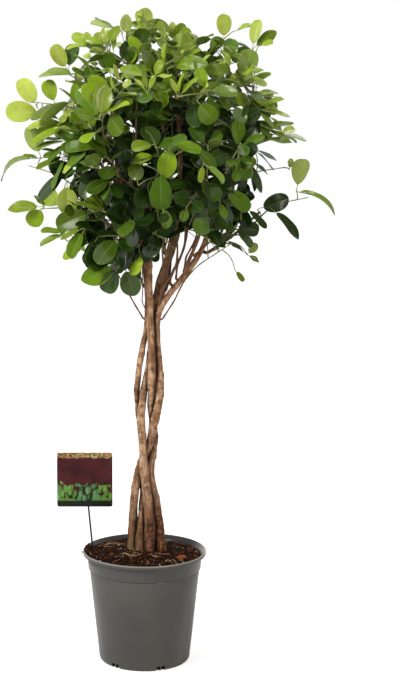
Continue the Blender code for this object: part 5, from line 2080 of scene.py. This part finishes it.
@dataclass
class PottingSoil:
    """The mounded mix: a lumpy bed with bark chips, crumbs, perlite and straw lying on it."""

    pot: NurseryPot
    edge_height: float = 0.1840
    edge_tilt: tuple[float, float] = (-0.0022, -0.0022)
    crown_height: float = 0.1915
    mound: tuple[Span, ...] = ((0.0, 1.0), (0.38, 0.92), (0.60, 0.50), (0.80, 0.12), (1.0, 0.0))
    # (height, distance apart, shift) of the lumps, coarse to fine
    lumps: tuple[tuple[float, float, Place], ...] = (
        (0.0024, 0.0170, (0, 0, 0)), (0.0018, 0.0065, (7, 3, 1)), (0.0009, 0.0026, (2, 9, 4)),
    )
    # (height, shift outwards) of the bed's side, down to its foot
    side: tuple[Span, ...] = (
        (0.1825, -0.0002), (0.176, 0.0), (0.158, -0.0004), (0.150, 0.0), (0.080, 0.0),
        (0.012, 0.0), (0.0062, -0.0035),
    )
    rings: int = 64
    sectors: int = 200
    chips: int = 250
    crumbs: int = 900
    perlite: int = 48
    straws: int = 26
    # (x, y, half length, tone) of the chips that stand out
    large_chips: tuple[tuple[float, ...], ...] = (
        (0.062, -0.042, 0.0090, 0.85), (-0.056, -0.038, 0.0050, 0.15), (0.030, -0.076, 0.0050, 0.10),
        (-0.020, -0.068, 0.0050, 0.10), (0.078, 0.020, 0.0060, 0.20), (-0.074, 0.030, 0.0060, 0.20),
        (0.010, 0.070, 0.0060, 0.20), (0.050, 0.058, 0.0060, 0.15), (-0.084, 0.006, 0.0050, 0.05),
        (-0.080, -0.014, 0.0050, 0.10),
    )
    # (x, y, z, half length, tone) of the crumbs that lie on the lip and cling to it by the stake
    rim_crumbs: tuple[tuple[float, ...], ...] = (
        (-0.0990, 0.0100, 0.1925, 0.0046, 0.08), (-0.0950, 0.0040, 0.1920, 0.0042, 0.04),
        (-0.0960, 0.0170, 0.1935, 0.0036, 0.15), (-0.0920, 0.0120, 0.1925, 0.0036, 0.05),
        (-0.1010, 0.0030, 0.1915, 0.0028, 0.06), (-0.0995, -0.0120, 0.1900, 0.0030, 0.04),
        (-0.0965, -0.0050, 0.1905, 0.0034, 0.10), (-0.1062, -0.0060, 0.1870, 0.0022, 0.05),
    )
    # (x, y, heading in degrees, length, number of straws) of the tufts that stand out
    tufts: tuple[tuple[float, ...], ...] = (
        (-0.080, 0.030, 20.0, 0.034, 5), (-0.050, 0.038, 150.0, 0.030, 5), (-0.034, -0.033, 5.0, 0.034, 5),
        (0.004, -0.036, -10.0, 0.020, 3), (-0.058, 0.054, 60.0, 0.020, 4), (-0.026, -0.040, 60.0, 0.012, 4),
    )

    def edge(self, angle: float) -> tuple[float, float]:
        """The radius and the height at which the bed meets the wall, in a direction."""
        height = self.edge_height + self.edge_tilt[0] * math.cos(angle) + self.edge_tilt[1] * math.sin(angle)
        return self.pot.inner_radius(height) - GAP, height

    def height(self, x: float, y: float) -> float:
        """The bed's height at a place, its lumps included.

        Args:
            x: The place, along +X.
            y: The place, along +Y.

        Returns:
            The height.
        """
        edge, edge_height = self.edge(math.atan2(y, x))
        out = math.hypot(x, y) / edge
        rise = float(np.interp(out, *zip(*self.mound))) * (self.crown_height - edge_height)
        place = Vector((x, y, 0.0))
        lumps = sum(size * noise.noise(place / gap + Vector(shift)) for size, gap, shift in self.lumps)
        return edge_height + rise + lumps * (1.0 - 0.75 * min(out, 1.0) ** 8)

    def build(self) -> None:
        """Make the bed and everything on it."""
        self.build_bed()
        self.build_chips()
        self.build_perlite()
        self.build_straws()

    def build_bed(self) -> Piece:
        """The bed: its lumpy top, and its side and underside down to the pot's floor.

        Returns:
            The piece.
        """
        angles = [sector * math.tau / self.sectors for sector in range(self.sectors)]
        rows = []
        for index in range(1, self.rings + 1):
            for angle in angles:
                radius = self.edge(angle)[0] * index / self.rings
                x, y = radius * math.cos(angle), radius * math.sin(angle)
                rows.append((x, y, self.height(x, y)))
        for level, inset in self.side:
            for angle in angles:
                height = min(level, self.edge(angle)[1] - 0.0030)
                radius = self.pot.inner_radius(max(height, self.pot.foot_top)) - GAP + inset
                rows.append((radius * math.cos(angle), radius * math.sin(angle), height))
        rows += [(0.0, 0.0, self.height(0.0, 0.0)), (0.0, 0.0, self.side[-1][0])]
        faces: Faces = []
        levels = self.rings + len(self.side)
        for sector in range(self.sectors):
            after = (sector + 1) % self.sectors
            faces.append((len(rows) - 2, sector, after))
            for level in range(levels - 1):
                a, b = level * self.sectors + sector, level * self.sectors + after
                faces.append((a, a + self.sectors, b + self.sectors, b))
            last = (levels - 1) * self.sectors
            faces.append((len(rows) - 1, last + after, last + sector))
        skin = Skin()
        skin.add(np.array(rows), faces)
        return skin.to_piece("soil_bed", [SoilFinish().make()], "potting_soil", slot="potting_mix")

    def somewhere(self, chance: random.Random) -> tuple[float, float]:
        """A place on the bed, even over its area.

        Args:
            chance: The source of the place.

        Returns:
            Its x and y.
        """
        angle = chance.uniform(0.0, math.tau)
        radius = math.sqrt(chance.random()) * (self.edge(angle)[0] - 0.0025)
        return radius * math.cos(angle), radius * math.sin(angle)

    @staticmethod
    def lump(chance: random.Random, size: Place, roughness: float, level: int) -> tuple[np.ndarray, Faces]:
        """An uneven rounded lump.

        Args:
            chance: The source of its form.
            size: Its half sizes.
            roughness: How far its points stray, as a share.
            level: How finely it is divided.

        Returns:
            Its points about the origin, turned at random, and its faces.
        """
        shape = bmesh.new()
        bmesh.ops.create_icosphere(shape, subdivisions=level, radius=1.0)
        shift = chance.uniform(0.0, 90.0)
        for vert in shape.verts:
            stray = 1.0 + roughness * noise.noise(vert.co * 1.6 + Vector((shift, shift, 0.0)))
            square = max(abs(c) for c in vert.co)
            vert.co *= stray * (1.0 - 0.35 * (1.0 - square))
        turn = Matrix.Rotation(chance.uniform(0, math.tau), 3, "Z")
        turn = turn @ Matrix.Rotation(chance.gauss(0, 0.35), 3, "X")
        points = np.array([turn @ Vector([c * s for c, s in zip(vert.co, size)]) for vert in shape.verts])
        faces = [tuple(vert.index for vert in face.verts) for face in shape.faces]
        shape.free()
        return points, faces

    def build_chips(self) -> None:
        """Bark chips in the mix: many small, a few large, and a heap where the label's stake goes in."""
        chance = random.Random(41)
        skin = Skin()
        for number in range(self.chips + self.crumbs):
            x, y = self.somewhere(chance)
            long = chance.uniform(0.0018, 0.0046) if number < self.chips else chance.uniform(0.0008, 0.0022)
            size = (long, long * chance.uniform(0.4, 0.8), long * chance.uniform(0.22, 0.5))
            points, faces = self.lump(chance, size, 0.8, 2 if number < self.chips else 1)
            lift = self.height(x, y) + size[2] * chance.uniform(-0.1, 0.7)
            skin.add(points + np.array((x, y, lift)), faces, tone=chance.random() ** 4.5)
        for x, y, long, tone in self.large_chips:
            points, faces = self.lump(chance, (long, long * 0.7, long * 0.5), 1.0, 3)
            skin.add(points + np.array((x, y, self.height(x, y) + long * 0.3)), faces, tone=tone)
        for x, y, z, long, tone in self.rim_crumbs:
            points, faces = self.lump(chance, (long, long * 0.7, long * 0.6), 1.1, 2)
            skin.add(points + np.array((x, y, z)), faces, tone=tone)
        finish = CrumbFinish("bark_chips", (0.350, 0.120, 0.050), (0.006, 0.004, 0.003))
        skin.to_piece("bark_chips", [finish.make()], slot="potting_mix")

    def build_perlite(self) -> None:
        """White perlite grains."""
        chance = random.Random(42)
        skin = Skin()
        for _ in range(self.perlite):
            x, y = self.somewhere(chance)
            size = chance.uniform(0.0006, 0.0015)
            points, faces = self.lump(chance, (size, size * 0.85, size * 0.75), 0.5, 2)
            skin.add(points + np.array((x, y, self.height(x, y) + size * 0.8)), faces, tone=chance.random())
        finish = CrumbFinish("perlite", (0.80, 0.76, 0.68), (0.40, 0.34, 0.27), 900.0, 0.0003)
        skin.to_piece("perlite_grains", [finish.make()], slot="potting_mix")

    def build_straws(self) -> None:
        """Thin curved fibres of bark and straw, strewn singly and lying in a few tufts."""
        chance = random.Random(43)
        skin = Skin()
        for _ in range(self.straws):
            x, y = self.somewhere(chance)
            self.add_straw(skin, chance, x, y, chance.uniform(0.0, math.tau), chance.uniform(0.008, 0.026))
        for x, y, heading, length, count in self.tufts:
            for _ in range(int(count)):
                start = (x + chance.gauss(0.0, 0.006), y + chance.gauss(0.0, 0.005))
                turn = math.radians(heading) + chance.gauss(0.0, 0.4)
                self.add_straw(skin, chance, *start, turn, length * chance.uniform(0.6, 1.1), 0.65)
        finish = CrumbFinish("straw_fibres", (0.60, 0.385, 0.230), (0.13, 0.055, 0.028), 500.0, 0.0003)
        skin.to_piece("straw_fibres", [finish.make()], slot="potting_mix")

    def add_straw(
        self, skin: Skin, chance: random.Random, x: float, y: float,
        heading: float, length: float, tone: float = 0.0,
    ) -> None:
        """Add one straw.

        Args:
            skin: The skin that it joins.
            chance: The source of its form.
            x: Where it starts.
            y: Where it starts.
            heading: The way it sets out, in radians.
            length: Its length.
            tone: The least of its tone.
        """
        curl = chance.uniform(-1.2, 1.2)
        path = []
        steps = 6
        for step in range(steps + 1):
            path.append((x, y, self.height(x, y) + 0.0016 + 0.0014 * math.sin(step * 1.1)))
            heading += curl / steps
            x += math.cos(heading) * length / steps
            y += math.sin(heading) * length / steps
            over = max(1.0, math.hypot(x, y) / (self.edge(math.atan2(y, x))[0] - 0.002))
            x, y = x / over, y / over
        radii = np.array([0.0002, 0.0005, 0.0006, 0.0006, 0.0005, 0.0004, 0.0002]) * chance.uniform(0.5, 1.0)
        points, faces = sweep(np.array(path), radii, 6)
        skin.add(points, faces, tone=tone + (1.0 - tone) * chance.random())


@dataclass
class PlantLabel:
    """The printed card on its black stake."""

    corner: float = 0.0030
    corner_steps: int = 6
    # (depth from either face, inset) of the card's softened edges
    edge: tuple[Span, ...] = ((0.0, 0.00015), (0.00012, 0.0))
    half_width: float = 0.047
    stake_width: float = 0.0032
    stake_depth: float = 0.0020
    stake_foot: Place = (-0.0835, 0.0118, 0.130)
    stake_head: Place = (-0.1030, 0.0118, 0.335)
    stake_sides: int = 16
    stake_squareness: float = 0.45
    # (share of the length, scale) from the point to the head
    stake_taper: tuple[Span, ...] = (
        (0.0, 0.35), (0.04, 0.8), (0.10, 1.0), (0.55, 1.0), (0.98, 1.0), (1.0, 0.85),
    )

    def build(self) -> None:
        """Make the card and the stake."""
        low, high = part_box("label_card")
        finish = CardFinish("printed_card", tuple(low), (high.x - low.x, high.z - low.z))
        self.build_card(low, high, finish)
        self.build_stake()

    def build_card(self, low: Vector, high: Vector, finish: CardFinish) -> None:
        """A flat card with round corners and softened edges.

        Args:
            low: The low corner of its box.
            high: The high corner.
            finish: Its finish.
        """
        left, right = low.x + self.corner, high.x - self.corner
        foot, top = low.z + self.corner, high.z - self.corner
        outline = []
        for x, z, start in ((right, top, 0), (left, top, 90), (left, foot, 180), (right, foot, 270)):
            for step in range(self.corner_steps + 1):
                angle = math.radians(start + 90 / self.corner_steps * step)
                outline.append((x + self.corner * math.cos(angle), z + self.corner * math.sin(angle)))
        flat = np.array(outline)
        middle = flat.mean(axis=0)
        layers = [(low.y + depth, inset) for depth, inset in self.edge]
        layers += [(high.y - depth, inset) for depth, inset in reversed(self.edge)]
        points = []
        for y, inset in layers:
            shrunk = middle + (flat - middle) * (1.0 - inset / self.half_width)
            points.append(np.column_stack((shrunk[:, 0], np.full(len(flat), y), shrunk[:, 1])))
        skin = Skin()
        skin.add(np.vstack(points), prism_faces(len(layers), len(flat)))
        card = skin.to_piece("printed_label", [finish.make()], "label_card", slot="printed_card")
        card.data.set_sharp_from_angle(angle=math.radians(35.0))

    def build_stake(self) -> None:
        """A square-edged stake, tapered to its point, whose head lies behind the card."""
        foot, head = Vector(self.stake_foot), Vector(self.stake_head)
        run = head - foot
        along = run.normalized()
        side = Vector((along.z, 0.0, -along.x))
        deep = Vector((0.0, 1.0, 0.0))
        section = []
        for step in range(self.stake_sides):
            angle = math.tau * (step + 0.5) / self.stake_sides
            section.append([
                math.copysign(abs(turn) ** self.stake_squareness, turn)
                for turn in (math.cos(angle), math.sin(angle))
            ])
        points = []
        for share, scale in self.stake_taper:
            wide, thick = scale * self.stake_width / 2, scale * self.stake_depth / 2
            points += [foot + run * share + side * (u * wide) + deep * (v * thick) for u, v in section]
        skin = Skin()
        skin.add(np.array(points), prism_faces(len(self.stake_taper), len(section)))
        stake = skin.to_piece("card_stake", [StakeFinish().make()], "label_stake", slot="stake_plastic")
        stake.data.set_sharp_from_angle(angle=math.radians(50.0))


# ---------------------------------------------------------------- the plant


@dataclass
class BarkedRod:
    """A stem or limb with its bark: swellings, ring scars, knots, a rough foot, and painted shade in the
    grooves against its neighbouring stems.
    """

    name: str
    rod: Rod
    seed: int
    spacing: float = 0.0024
    sides: int = 26
    knots: tuple[tuple[float, float, float], ...] = ()
    neighbours: tuple[Rod, ...] = ()
    # how far from a neighbouring stem the painted shade in the groove reaches
    groove: float = 0.0042
    soil_height: float = 0.190
    rough_top: float = 0.30
    rough_fade: float = 0.10
    ring_width: float = 0.0016
    ring_gap: Span = (0.012, 0.046)
    knot_gap: float = 0.024
    flare_height: float = 0.016

    def relief(self, path: np.ndarray, radii: np.ndarray) -> tuple[np.ndarray, np.ndarray]:
        """How far the bark stands off the round, and where it is scarred.

        Args:
            path: The points along the middle.
            radii: The radius at each.

        Returns:
            Radii with one column for each side, and scar marks of the same form.
        """
        chance = random.Random(self.seed)
        rings, sides = len(path), self.sides
        angles = np.arange(sides) * math.tau / sides
        surface = path[:, None] + directions_round(path, sides) * radii[:, None, None]
        along = np.concatenate(([0.0], np.cumsum(np.linalg.norm(np.diff(path, axis=0), axis=1))))
        stretched = surface * np.array((1.0, 1.0, 0.22))
        girth = np.broadcast_to(radii[:, None], (rings, sides)).copy()
        rough = np.clip((self.rough_top - path[:, 2]) / self.rough_fade, 0.0, 1.0)[:, None]
        girth *= 1.0 + 0.17 * ripple(surface, 0.018, self.seed)
        girth *= 1.0 + (0.08 + 0.20 * rough) * ripple(stretched, 0.0045, self.seed)
        girth += (0.00018 + 0.00050 * rough) * ripple(surface, 0.0022, self.seed + 5)
        scar = np.zeros((rings, sides))
        at = chance.uniform(0.0, 0.02)
        while at < along[-1]:
            turn, size = chance.uniform(0.0, math.tau), chance.uniform(0.00020, 0.00080)
            ring = np.exp(-(((along - at) / self.ring_width) ** 2))[:, None]
            girth += size * ring * (0.55 + 0.45 * np.cos(angles - turn))[None]
            facing = np.clip(np.cos(angles - turn), 0.0, 1.0)[None] ** 2
            scar = np.maximum(scar, chance.uniform(0.2, 0.6) * ring * facing)
            at += chance.uniform(*self.ring_gap)
        marks = [
            (chance.uniform(0.0, along[-1]), chance.uniform(0.0, math.tau), chance.uniform(0.0012, 0.0030))
            for _ in range(int(along[-1] / self.knot_gap))
        ]
        for height, heading, size in self.knots:
            at = float(np.interp(height, path[:, 2], along))
            marks.append((at, self.facing(path, height, heading), size))
        for at, turn, size in marks:
            around = (angles - turn + math.pi) % math.tau - math.pi
            off = np.hypot((along - at)[:, None], around[None] * radii[:, None])
            swelling, pit = (np.exp(-((off / (reach * size)) ** 2)) for reach in (1.25, 0.5))
            girth += 0.42 * size * swelling - 0.40 * size * pit
            scar = np.maximum(scar, 0.85 * np.exp(-((off / (0.75 * size)) ** 2)))
        flare = np.exp(-np.clip(path[:, 2] - self.soil_height, 0.0, 1.0) / self.flare_height)[:, None]
        girth *= 1.0 + flare * (0.16 + 0.16 * np.cos(3 * angles + self.seed))[None]
        return girth, np.clip(scar, 0.0, 1.0)

    def facing(self, path: np.ndarray, height: float, heading: float) -> float:
        """The angle round the rod, at a height, that looks along a heading from -Y towards +X.

        Args:
            path: The points along the middle.
            height: The height.
            heading: The heading, in radians.

        Returns:
            The angle from the first of the path's directions, in radians.
        """
        first, second = frames_along(path)
        index = int(np.argmin(np.abs(path[:, 2] - height)))
        way = np.array((math.sin(heading), -math.cos(heading), 0.0))
        return math.atan2(way.dot(second[index]), way.dot(first[index]))

    def build(self, material: Material, slot: str) -> Piece:
        """Make the piece and dress it.

        Args:
            material: Its bark.
            slot: The record's material slot.

        Returns:
            The piece.
        """
        path, radii = self.rod.fine(self.spacing)
        girth, scar = self.relief(path, radii)
        points, faces = sweep(path, girth, self.sides)
        skin = Skin()
        scars = np.concatenate((scar.ravel(), (0.0, 0.0)))
        skin.add(points, faces, scar=scars, crevice=self.crevice_shade_marks(points))
        return skin.to_piece(self.name + "_bark", [material], self.name, slot=slot)

    def crevice_shade_marks(self, points: np.ndarray) -> np.ndarray:
        """How much painted shade each point takes from its nearness to the neighbouring rods, from 0 to 1,
        most in the groove between them.

        Args:
            points: The points, one row each.

        Returns:
            A painted shade mark for each.
        """
        gap = np.full(len(points), 1.0)
        for neighbour in self.neighbours:
            path, radii = neighbour.fine(0.005)
            near = np.linalg.norm(points[:, None] - path[None], axis=2) - radii[None]
            gap = np.minimum(gap, near.min(axis=1))
        return np.exp(-np.clip(gap, 0.0, 1.0) / self.groove)


class LeafForm:
    """Builds leaf blades and stalks."""

    ROWS = 11
    ACROSS = np.array((-1.0, -0.94, -0.66, -0.30, -0.06, 0.0, 0.06, 0.30, 0.66, 0.94, 1.0))
    POINTED_SHARE = 0.35
    THICKNESS = 0.00045
    STALK_RADIUS = 0.00075

    def __init__(self) -> None:
        """Work out the faces once, since every blade has the same."""
        turns = np.linspace(0.06, 0.975, self.ROWS) * math.pi
        self.along = 0.5 * (1.0 - np.cos(turns))
        self.faces = self.blade_faces()

    def blade_faces(self) -> Faces:
        """The faces of a closed thin blade: its top, its underside and its rim.

        Returns:
            The faces, by point number.
        """
        rows, columns = self.ROWS, len(self.ACROSS)
        below = rows * columns
        faces: Faces = []
        for row in range(rows - 1):
            for column in range(columns - 1):
                a = row * columns + column
                faces.append((a, a + 1, a + columns + 1, a + columns))
                faces.append((below + a, below + a + columns, below + a + columns + 1, below + a + 1))
        rim = list(range(columns))
        rim += [row * columns + columns - 1 for row in range(1, rows)]
        rim += [(rows - 1) * columns + column for column in range(columns - 2, -1, -1)]
        rim += [row * columns for row in range(rows - 2, 0, -1)]
        for a, b in zip(rim, rim[1:] + rim[:1]):
            faces.append((b, a, below + a, below + b))
        return faces

    def blade(self, leaf: Leaf, chance: random.Random) -> tuple[np.ndarray, ...]:
        """One blade's points and marks.

        Args:
            leaf: The leaf.
            chance: The source of its small differences.

        Returns:
            The points, and for each its place along, its place across and whether it is underneath.
        """
        t, s = self.along[:, None], self.ACROSS[None]
        rise, fall = chance.uniform(0.52, 0.72), chance.uniform(0.42, 0.50)
        if chance.random() < self.POINTED_SHARE:
            fall += chance.uniform(0.12, 0.28)
        widest = rise / (rise + fall)
        half = t**rise * (1.0 - t) ** fall / (widest**rise * (1.0 - widest) ** fall)
        half = half * leaf.width / 2
        length = leaf.length * (1.0 - leaf.stalk)
        bend = leaf.bend if abs(leaf.bend) > 0.01 else 0.01
        ahead = length * np.sin(bend * t) / bend
        down = length * (1.0 - np.cos(bend * t)) / bend
        fold, cup = chance.uniform(0.02, 0.22), chance.uniform(-0.10, 0.22)
        wave, phase = chance.uniform(0.0003, 0.0011), chance.uniform(0.0, math.tau)
        off = s * half
        lift = np.abs(off) * fold + cup * off**2 / (leaf.width / 2)
        lift = lift + wave * s**2 * np.sin(math.tau * 1.4 * t + phase + s)
        groove = np.exp(-((s / 0.07) ** 2)) * (1.0 - 0.7 * t)
        lift = lift - 0.00030 * groove
        thick = self.THICKNESS * (1.0 - 0.45 * s**4) + 0.00055 * groove
        axis, face, side = (np.array(way) for way in (leaf.axis, leaf.face, leaf.side))
        start = np.array(leaf.base) + axis * leaf.length * leaf.stalk
        normal = face * np.cos(bend * t)[..., None] + axis * np.sin(bend * t)[..., None]
        middle = start + axis * ahead[..., None] - face * down[..., None]
        top = middle + side * off[..., None] + normal * lift[..., None]
        bottom = top - normal * thick[..., None]
        points = np.concatenate((top.reshape(-1, 3), bottom.reshape(-1, 3)))
        along = np.tile(np.broadcast_to(t, top.shape[:2]).ravel(), 2)
        across = np.tile(np.broadcast_to(s, top.shape[:2]).ravel(), 2)
        under = np.repeat((0.0, 1.0), top.shape[0] * top.shape[1])
        return points, along, across, under

    def add(self, skin: Skin, leaf: Leaf, chance: random.Random) -> None:
        """Add a leaf, its stalk included, to a skin whose first material is leaf and second twig.

        Args:
            skin: The skin.
            leaf: The leaf.
            chance: The source of its small differences.
        """
        points, along, across, under = self.blade(leaf, chance)
        skin.add(
            points, self.faces, 0, along=along, across=across, under=under, age=leaf.age,
            tone=chance.random(), gloss=chance.random(),
        )
        start = leaf.base if leaf.foot is None else leaf.foot
        end = leaf.base + leaf.axis * leaf.length * (leaf.stalk + 0.02) - leaf.face * 0.0006
        sag = leaf.face * -0.0012 + Vector((0.0, 0.0, 0.0010))
        knots = [start, start.lerp(end, 0.5) + sag, end]
        path = smooth(knots, np.linspace(0.0, 1.0, 5))
        radii = self.STALK_RADIUS * np.array((1.15, 0.95, 0.85, 0.85, 0.65))
        points, faces = sweep(path, radii, 6)
        skin.add(points, faces, 1, fresh=0.65 + 0.35 * leaf.age)


@dataclass
class LeafyShoot:
    """One shoot as a piece: its twigs and all the leaves on them."""

    shoot: Shoot
    number: int

    def build(self, form: LeafForm, leaf: Material, twig: Material) -> Piece:
        """Make the piece.

        Args:
            form: Builds its leaves.
            leaf: The leaves' material.
            twig: The twigs' material.

        Returns:
            The piece.
        """
        chance = random.Random(9000 + self.number)
        skin = Skin()
        for grown in self.shoot.leaves:
            form.add(skin, grown, chance)
        for order, rod in enumerate(self.shoot.twigs):
            path, radii = rod.fine(0.004)
            shares = np.linspace(0.0, 1.0, len(path))
            green = np.clip((shares - 0.35) * 1.8, 0.0, 1.0) if order == 0 else 0.60 + 0.40 * shares
            points, faces = sweep(path, radii * (1.0 + 0.12 * np.sin(shares * 40.0)), 8)
            fresh = np.concatenate((np.repeat(green, 8), (green[0], green[-1])))
            skin.add(points, faces, 1, fresh=fresh)
        slot = "young_leaf" if self.shoot.youth >= 0.7 else "leaf" if self.shoot.youth >= 0.4 else "old_leaf"
        name = self.shoot.name
        return skin.to_piece("leaves_" + name, [leaf, twig], "shoot_" + name, slot=slot)


class Plant:
    """The whole plant: braid, limbs and crown."""

    # Knots on the stems: (height, heading in radians from the front towards +X, size)
    STEM_KNOTS = {
        "stem_1": (
            (0.505, 0.0, 0.0042), (0.560, 0.3, 0.0024), (0.386, 1.2, 0.0034), (0.350, 1.3, 0.0034),
            (0.262, 0.2, 0.0050),
        ),
        "stem_2": (
            (0.490, 1.2, 0.0030), (0.415, 1.2, 0.0030), (0.343, -0.9, 0.0034), (0.281, -0.3, 0.0036),
            (0.240, 0.3, 0.0034),
        ),
        "stem_3": ((0.304, 0.1, 0.0036), (0.378, 0.1, 0.0028), (0.440, -0.2, 0.0030), (0.237, 0.3, 0.0060)),
        "stem_4": (
            (0.508, -0.3, 0.0032), (0.466, -0.5, 0.0036), (0.448, -0.2, 0.0032), (0.300, -0.8, 0.0030),
        ),
        "stem_5": ((0.366, 1.1, 0.0034), (0.330, 1.2, 0.0034), (0.420, 1.2, 0.0030), (0.270, 0.8, 0.0030)),
    }

    def __init__(self) -> None:
        """Grow it."""
        self.wood = Wood()
        self.foliage = Foliage(self.wood)

    def build(self) -> None:
        """Make every piece of the plant."""
        bark, limb_bark = BarkFinish().make(), LimbFinish().make()
        for number, (name, rod) in enumerate(self.wood.rods.items()):
            seed = 11 * number + 3
            if name in STEMS:
                neighbours = tuple(self.wood.rods[other] for other in STEMS if other != name)
                knots = self.STEM_KNOTS[name]
                BarkedRod(name, rod, seed, knots=knots, neighbours=neighbours).build(bark, "stem_bark")
            else:
                BarkedRod(name, rod, seed, 0.003, 14).build(limb_bark, "limb_bark")
            log.info("%s", name)
        form, leaf, twig = LeafForm(), LeafFinish().make(), TwigFinish().make()
        self.build_suckers(twig)
        for number, shoot in enumerate(self.foliage.shoots):
            LeafyShoot(shoot, number).build(form, leaf, twig)
            log.info("%s: %d leaves", shoot.name, len(shoot.leaves))
        log.info("%d leaves in all", len(self.foliage.placed))

    def build_suckers(self, material: Material) -> Piece:
        """The suckers as one piece, greener towards their tips.

        Args:
            material: Their material.

        Returns:
            The piece.
        """
        skin = Skin()
        for sucker in self.wood.suckers:
            path, radii = sucker.fine(0.004)
            shares = np.linspace(0.0, 1.0, len(path))
            points, faces = sweep(path, radii * (1.0 + 0.10 * np.sin(shares * 50.0)), 8)
            green = 0.5 * shares**3
            skin.add(points, faces, fresh=np.concatenate((np.repeat(green, 8), (green[0], green[-1]))))
        return skin.to_piece("bare_suckers", [material], slot="limb_bark")


# ---------------------------------------------------------------- the studio


@dataclass
class Studio:
    """A white sweep, soft lamps and the camera."""

    floor_size: float = 30.0
    floor_colour: Colour = (0.86, 0.86, 0.86)
    camera_distance: float = 2.5
    camera_height: float = 0.898
    pitch: float = 7.8
    sensor_height: float = 36.0
    lens: float = 80.27
    shift: float = 0.0821
    lamp_aim: Place = (0.02, 0.0, 0.65)
    ambient: float = 0.18
    glow_span: tuple[float, float] = (0.2, 1.7)
    floor_glow: tuple[float, float] = (0.66, 0.92)

    def build(self) -> None:
        """Make it all."""
        bpy.context.scene.view_settings.view_transform = "Standard"
        self.build_floor()
        self.build_world()
        self.build_lamps()
        self.build_camera()

    def build_floor(self) -> None:
        """A pale floor that shows white where no shadow falls on it."""
        mesh = bpy.data.meshes.new("floor")
        half = self.floor_size / 2
        corners = [(-half, -half, 0), (half, -half, 0), (half, half, 0), (-half, half, 0)]
        mesh.from_pydata(corners, [], [(0, 1, 2, 3)])
        floor = bpy.data.objects.new("floor", mesh)
        bpy.context.scene.collection.objects.link(floor)
        b = Bench(bpy.data.materials.new("pale_floor"))
        away = b.length(b.place())
        glow = b.node("LightPath", output="Is Camera Ray") * b.ease(away, *self.glow_span, *self.floor_glow)
        mesh.materials.append(b.finish(
            Base_Color=self.floor_colour, Roughness=0.9, Specular_IOR_Level=0.0,
            Emission_Color=b.grey(glow), Emission_Strength=1.0,
        ))

    def build_world(self) -> None:
        """White to the camera and in reflections, softer as light."""
        world = bpy.data.worlds.new("studio")
        bpy.context.scene.world = world
        b = Bench(world)
        camera, glossy, through = (
            b.node("LightPath", output=f"Is {ray} Ray") for ray in ("Camera", "Glossy", "Transmission")
        )
        seen = b.math("MAXIMUM", b.math("MAXIMUM", camera, glossy), through)
        back = b.tree.nodes["Background"]
        b.feed(back.inputs["Color"], (1.0, 1.0, 1.0))
        b.feed(back.inputs["Strength"], b.node("MapRange", sockets={0: seen, 3: self.ambient, 4: 1.0}))

    def build_lamps(self) -> None:
        """A key lamp high on the left, a tall strip on the right and a top light."""
        lamps = (
            ("key", (-2.0, -1.7, 2.2), (1.0, 1.0), 68.0, (1.0, 0.985, 0.95)),
            ("strip", (1.3, -2.1, 1.5), (0.22, 1.5), 17.0, (1.0, 0.88, 0.74)),
            ("top", (0.2, 0.4, 2.8), (1.5, 1.5), 24.0, (1.0, 1.0, 0.98)),
        )
        for name, place, size, power, colour in lamps:
            data = bpy.data.lights.new(name, "AREA")
            data.shape, data.energy, data.color = "ELLIPSE", power, colour
            data.size, data.size_y = size
            lamp = bpy.data.objects.new(name, data)
            lamp.location = place
            aim = Vector(self.lamp_aim) - lamp.location
            lamp.rotation_euler = aim.to_track_quat("-Z", "Y").to_euler()
            bpy.context.scene.collection.objects.link(lamp)

    def build_camera(self) -> None:
        """The camera, square on to the front and looking slightly down."""
        data = bpy.data.cameras.new("camera")
        data.sensor_fit, data.sensor_height = "VERTICAL", self.sensor_height
        data.lens, data.shift_x = self.lens, self.shift
        camera = bpy.data.objects.new("camera", data)
        camera.location = (0.0, -self.camera_distance, self.camera_height)
        camera.rotation_euler = (math.radians(90.0 - self.pitch), 0.0, 0.0)
        bpy.context.scene.collection.objects.link(camera)
        bpy.context.scene.camera = camera


def write_sizes() -> None:
    """Bring the scene's view layer up to date."""
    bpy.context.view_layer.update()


def main() -> None:
    """Build the pot, the soil, the label, the plant and the studio."""
    logging.basicConfig(level=logging.INFO, format="%(name)s: %(message)s")
    Studio().build()
    pot = NurseryPot()
    pot.build()
    log.info("pot")
    PottingSoil(pot).build()
    log.info("soil")
    PlantLabel().build()
    log.info("label")
    Plant().build()
    write_sizes()


if __name__ == "__main__":
    main()
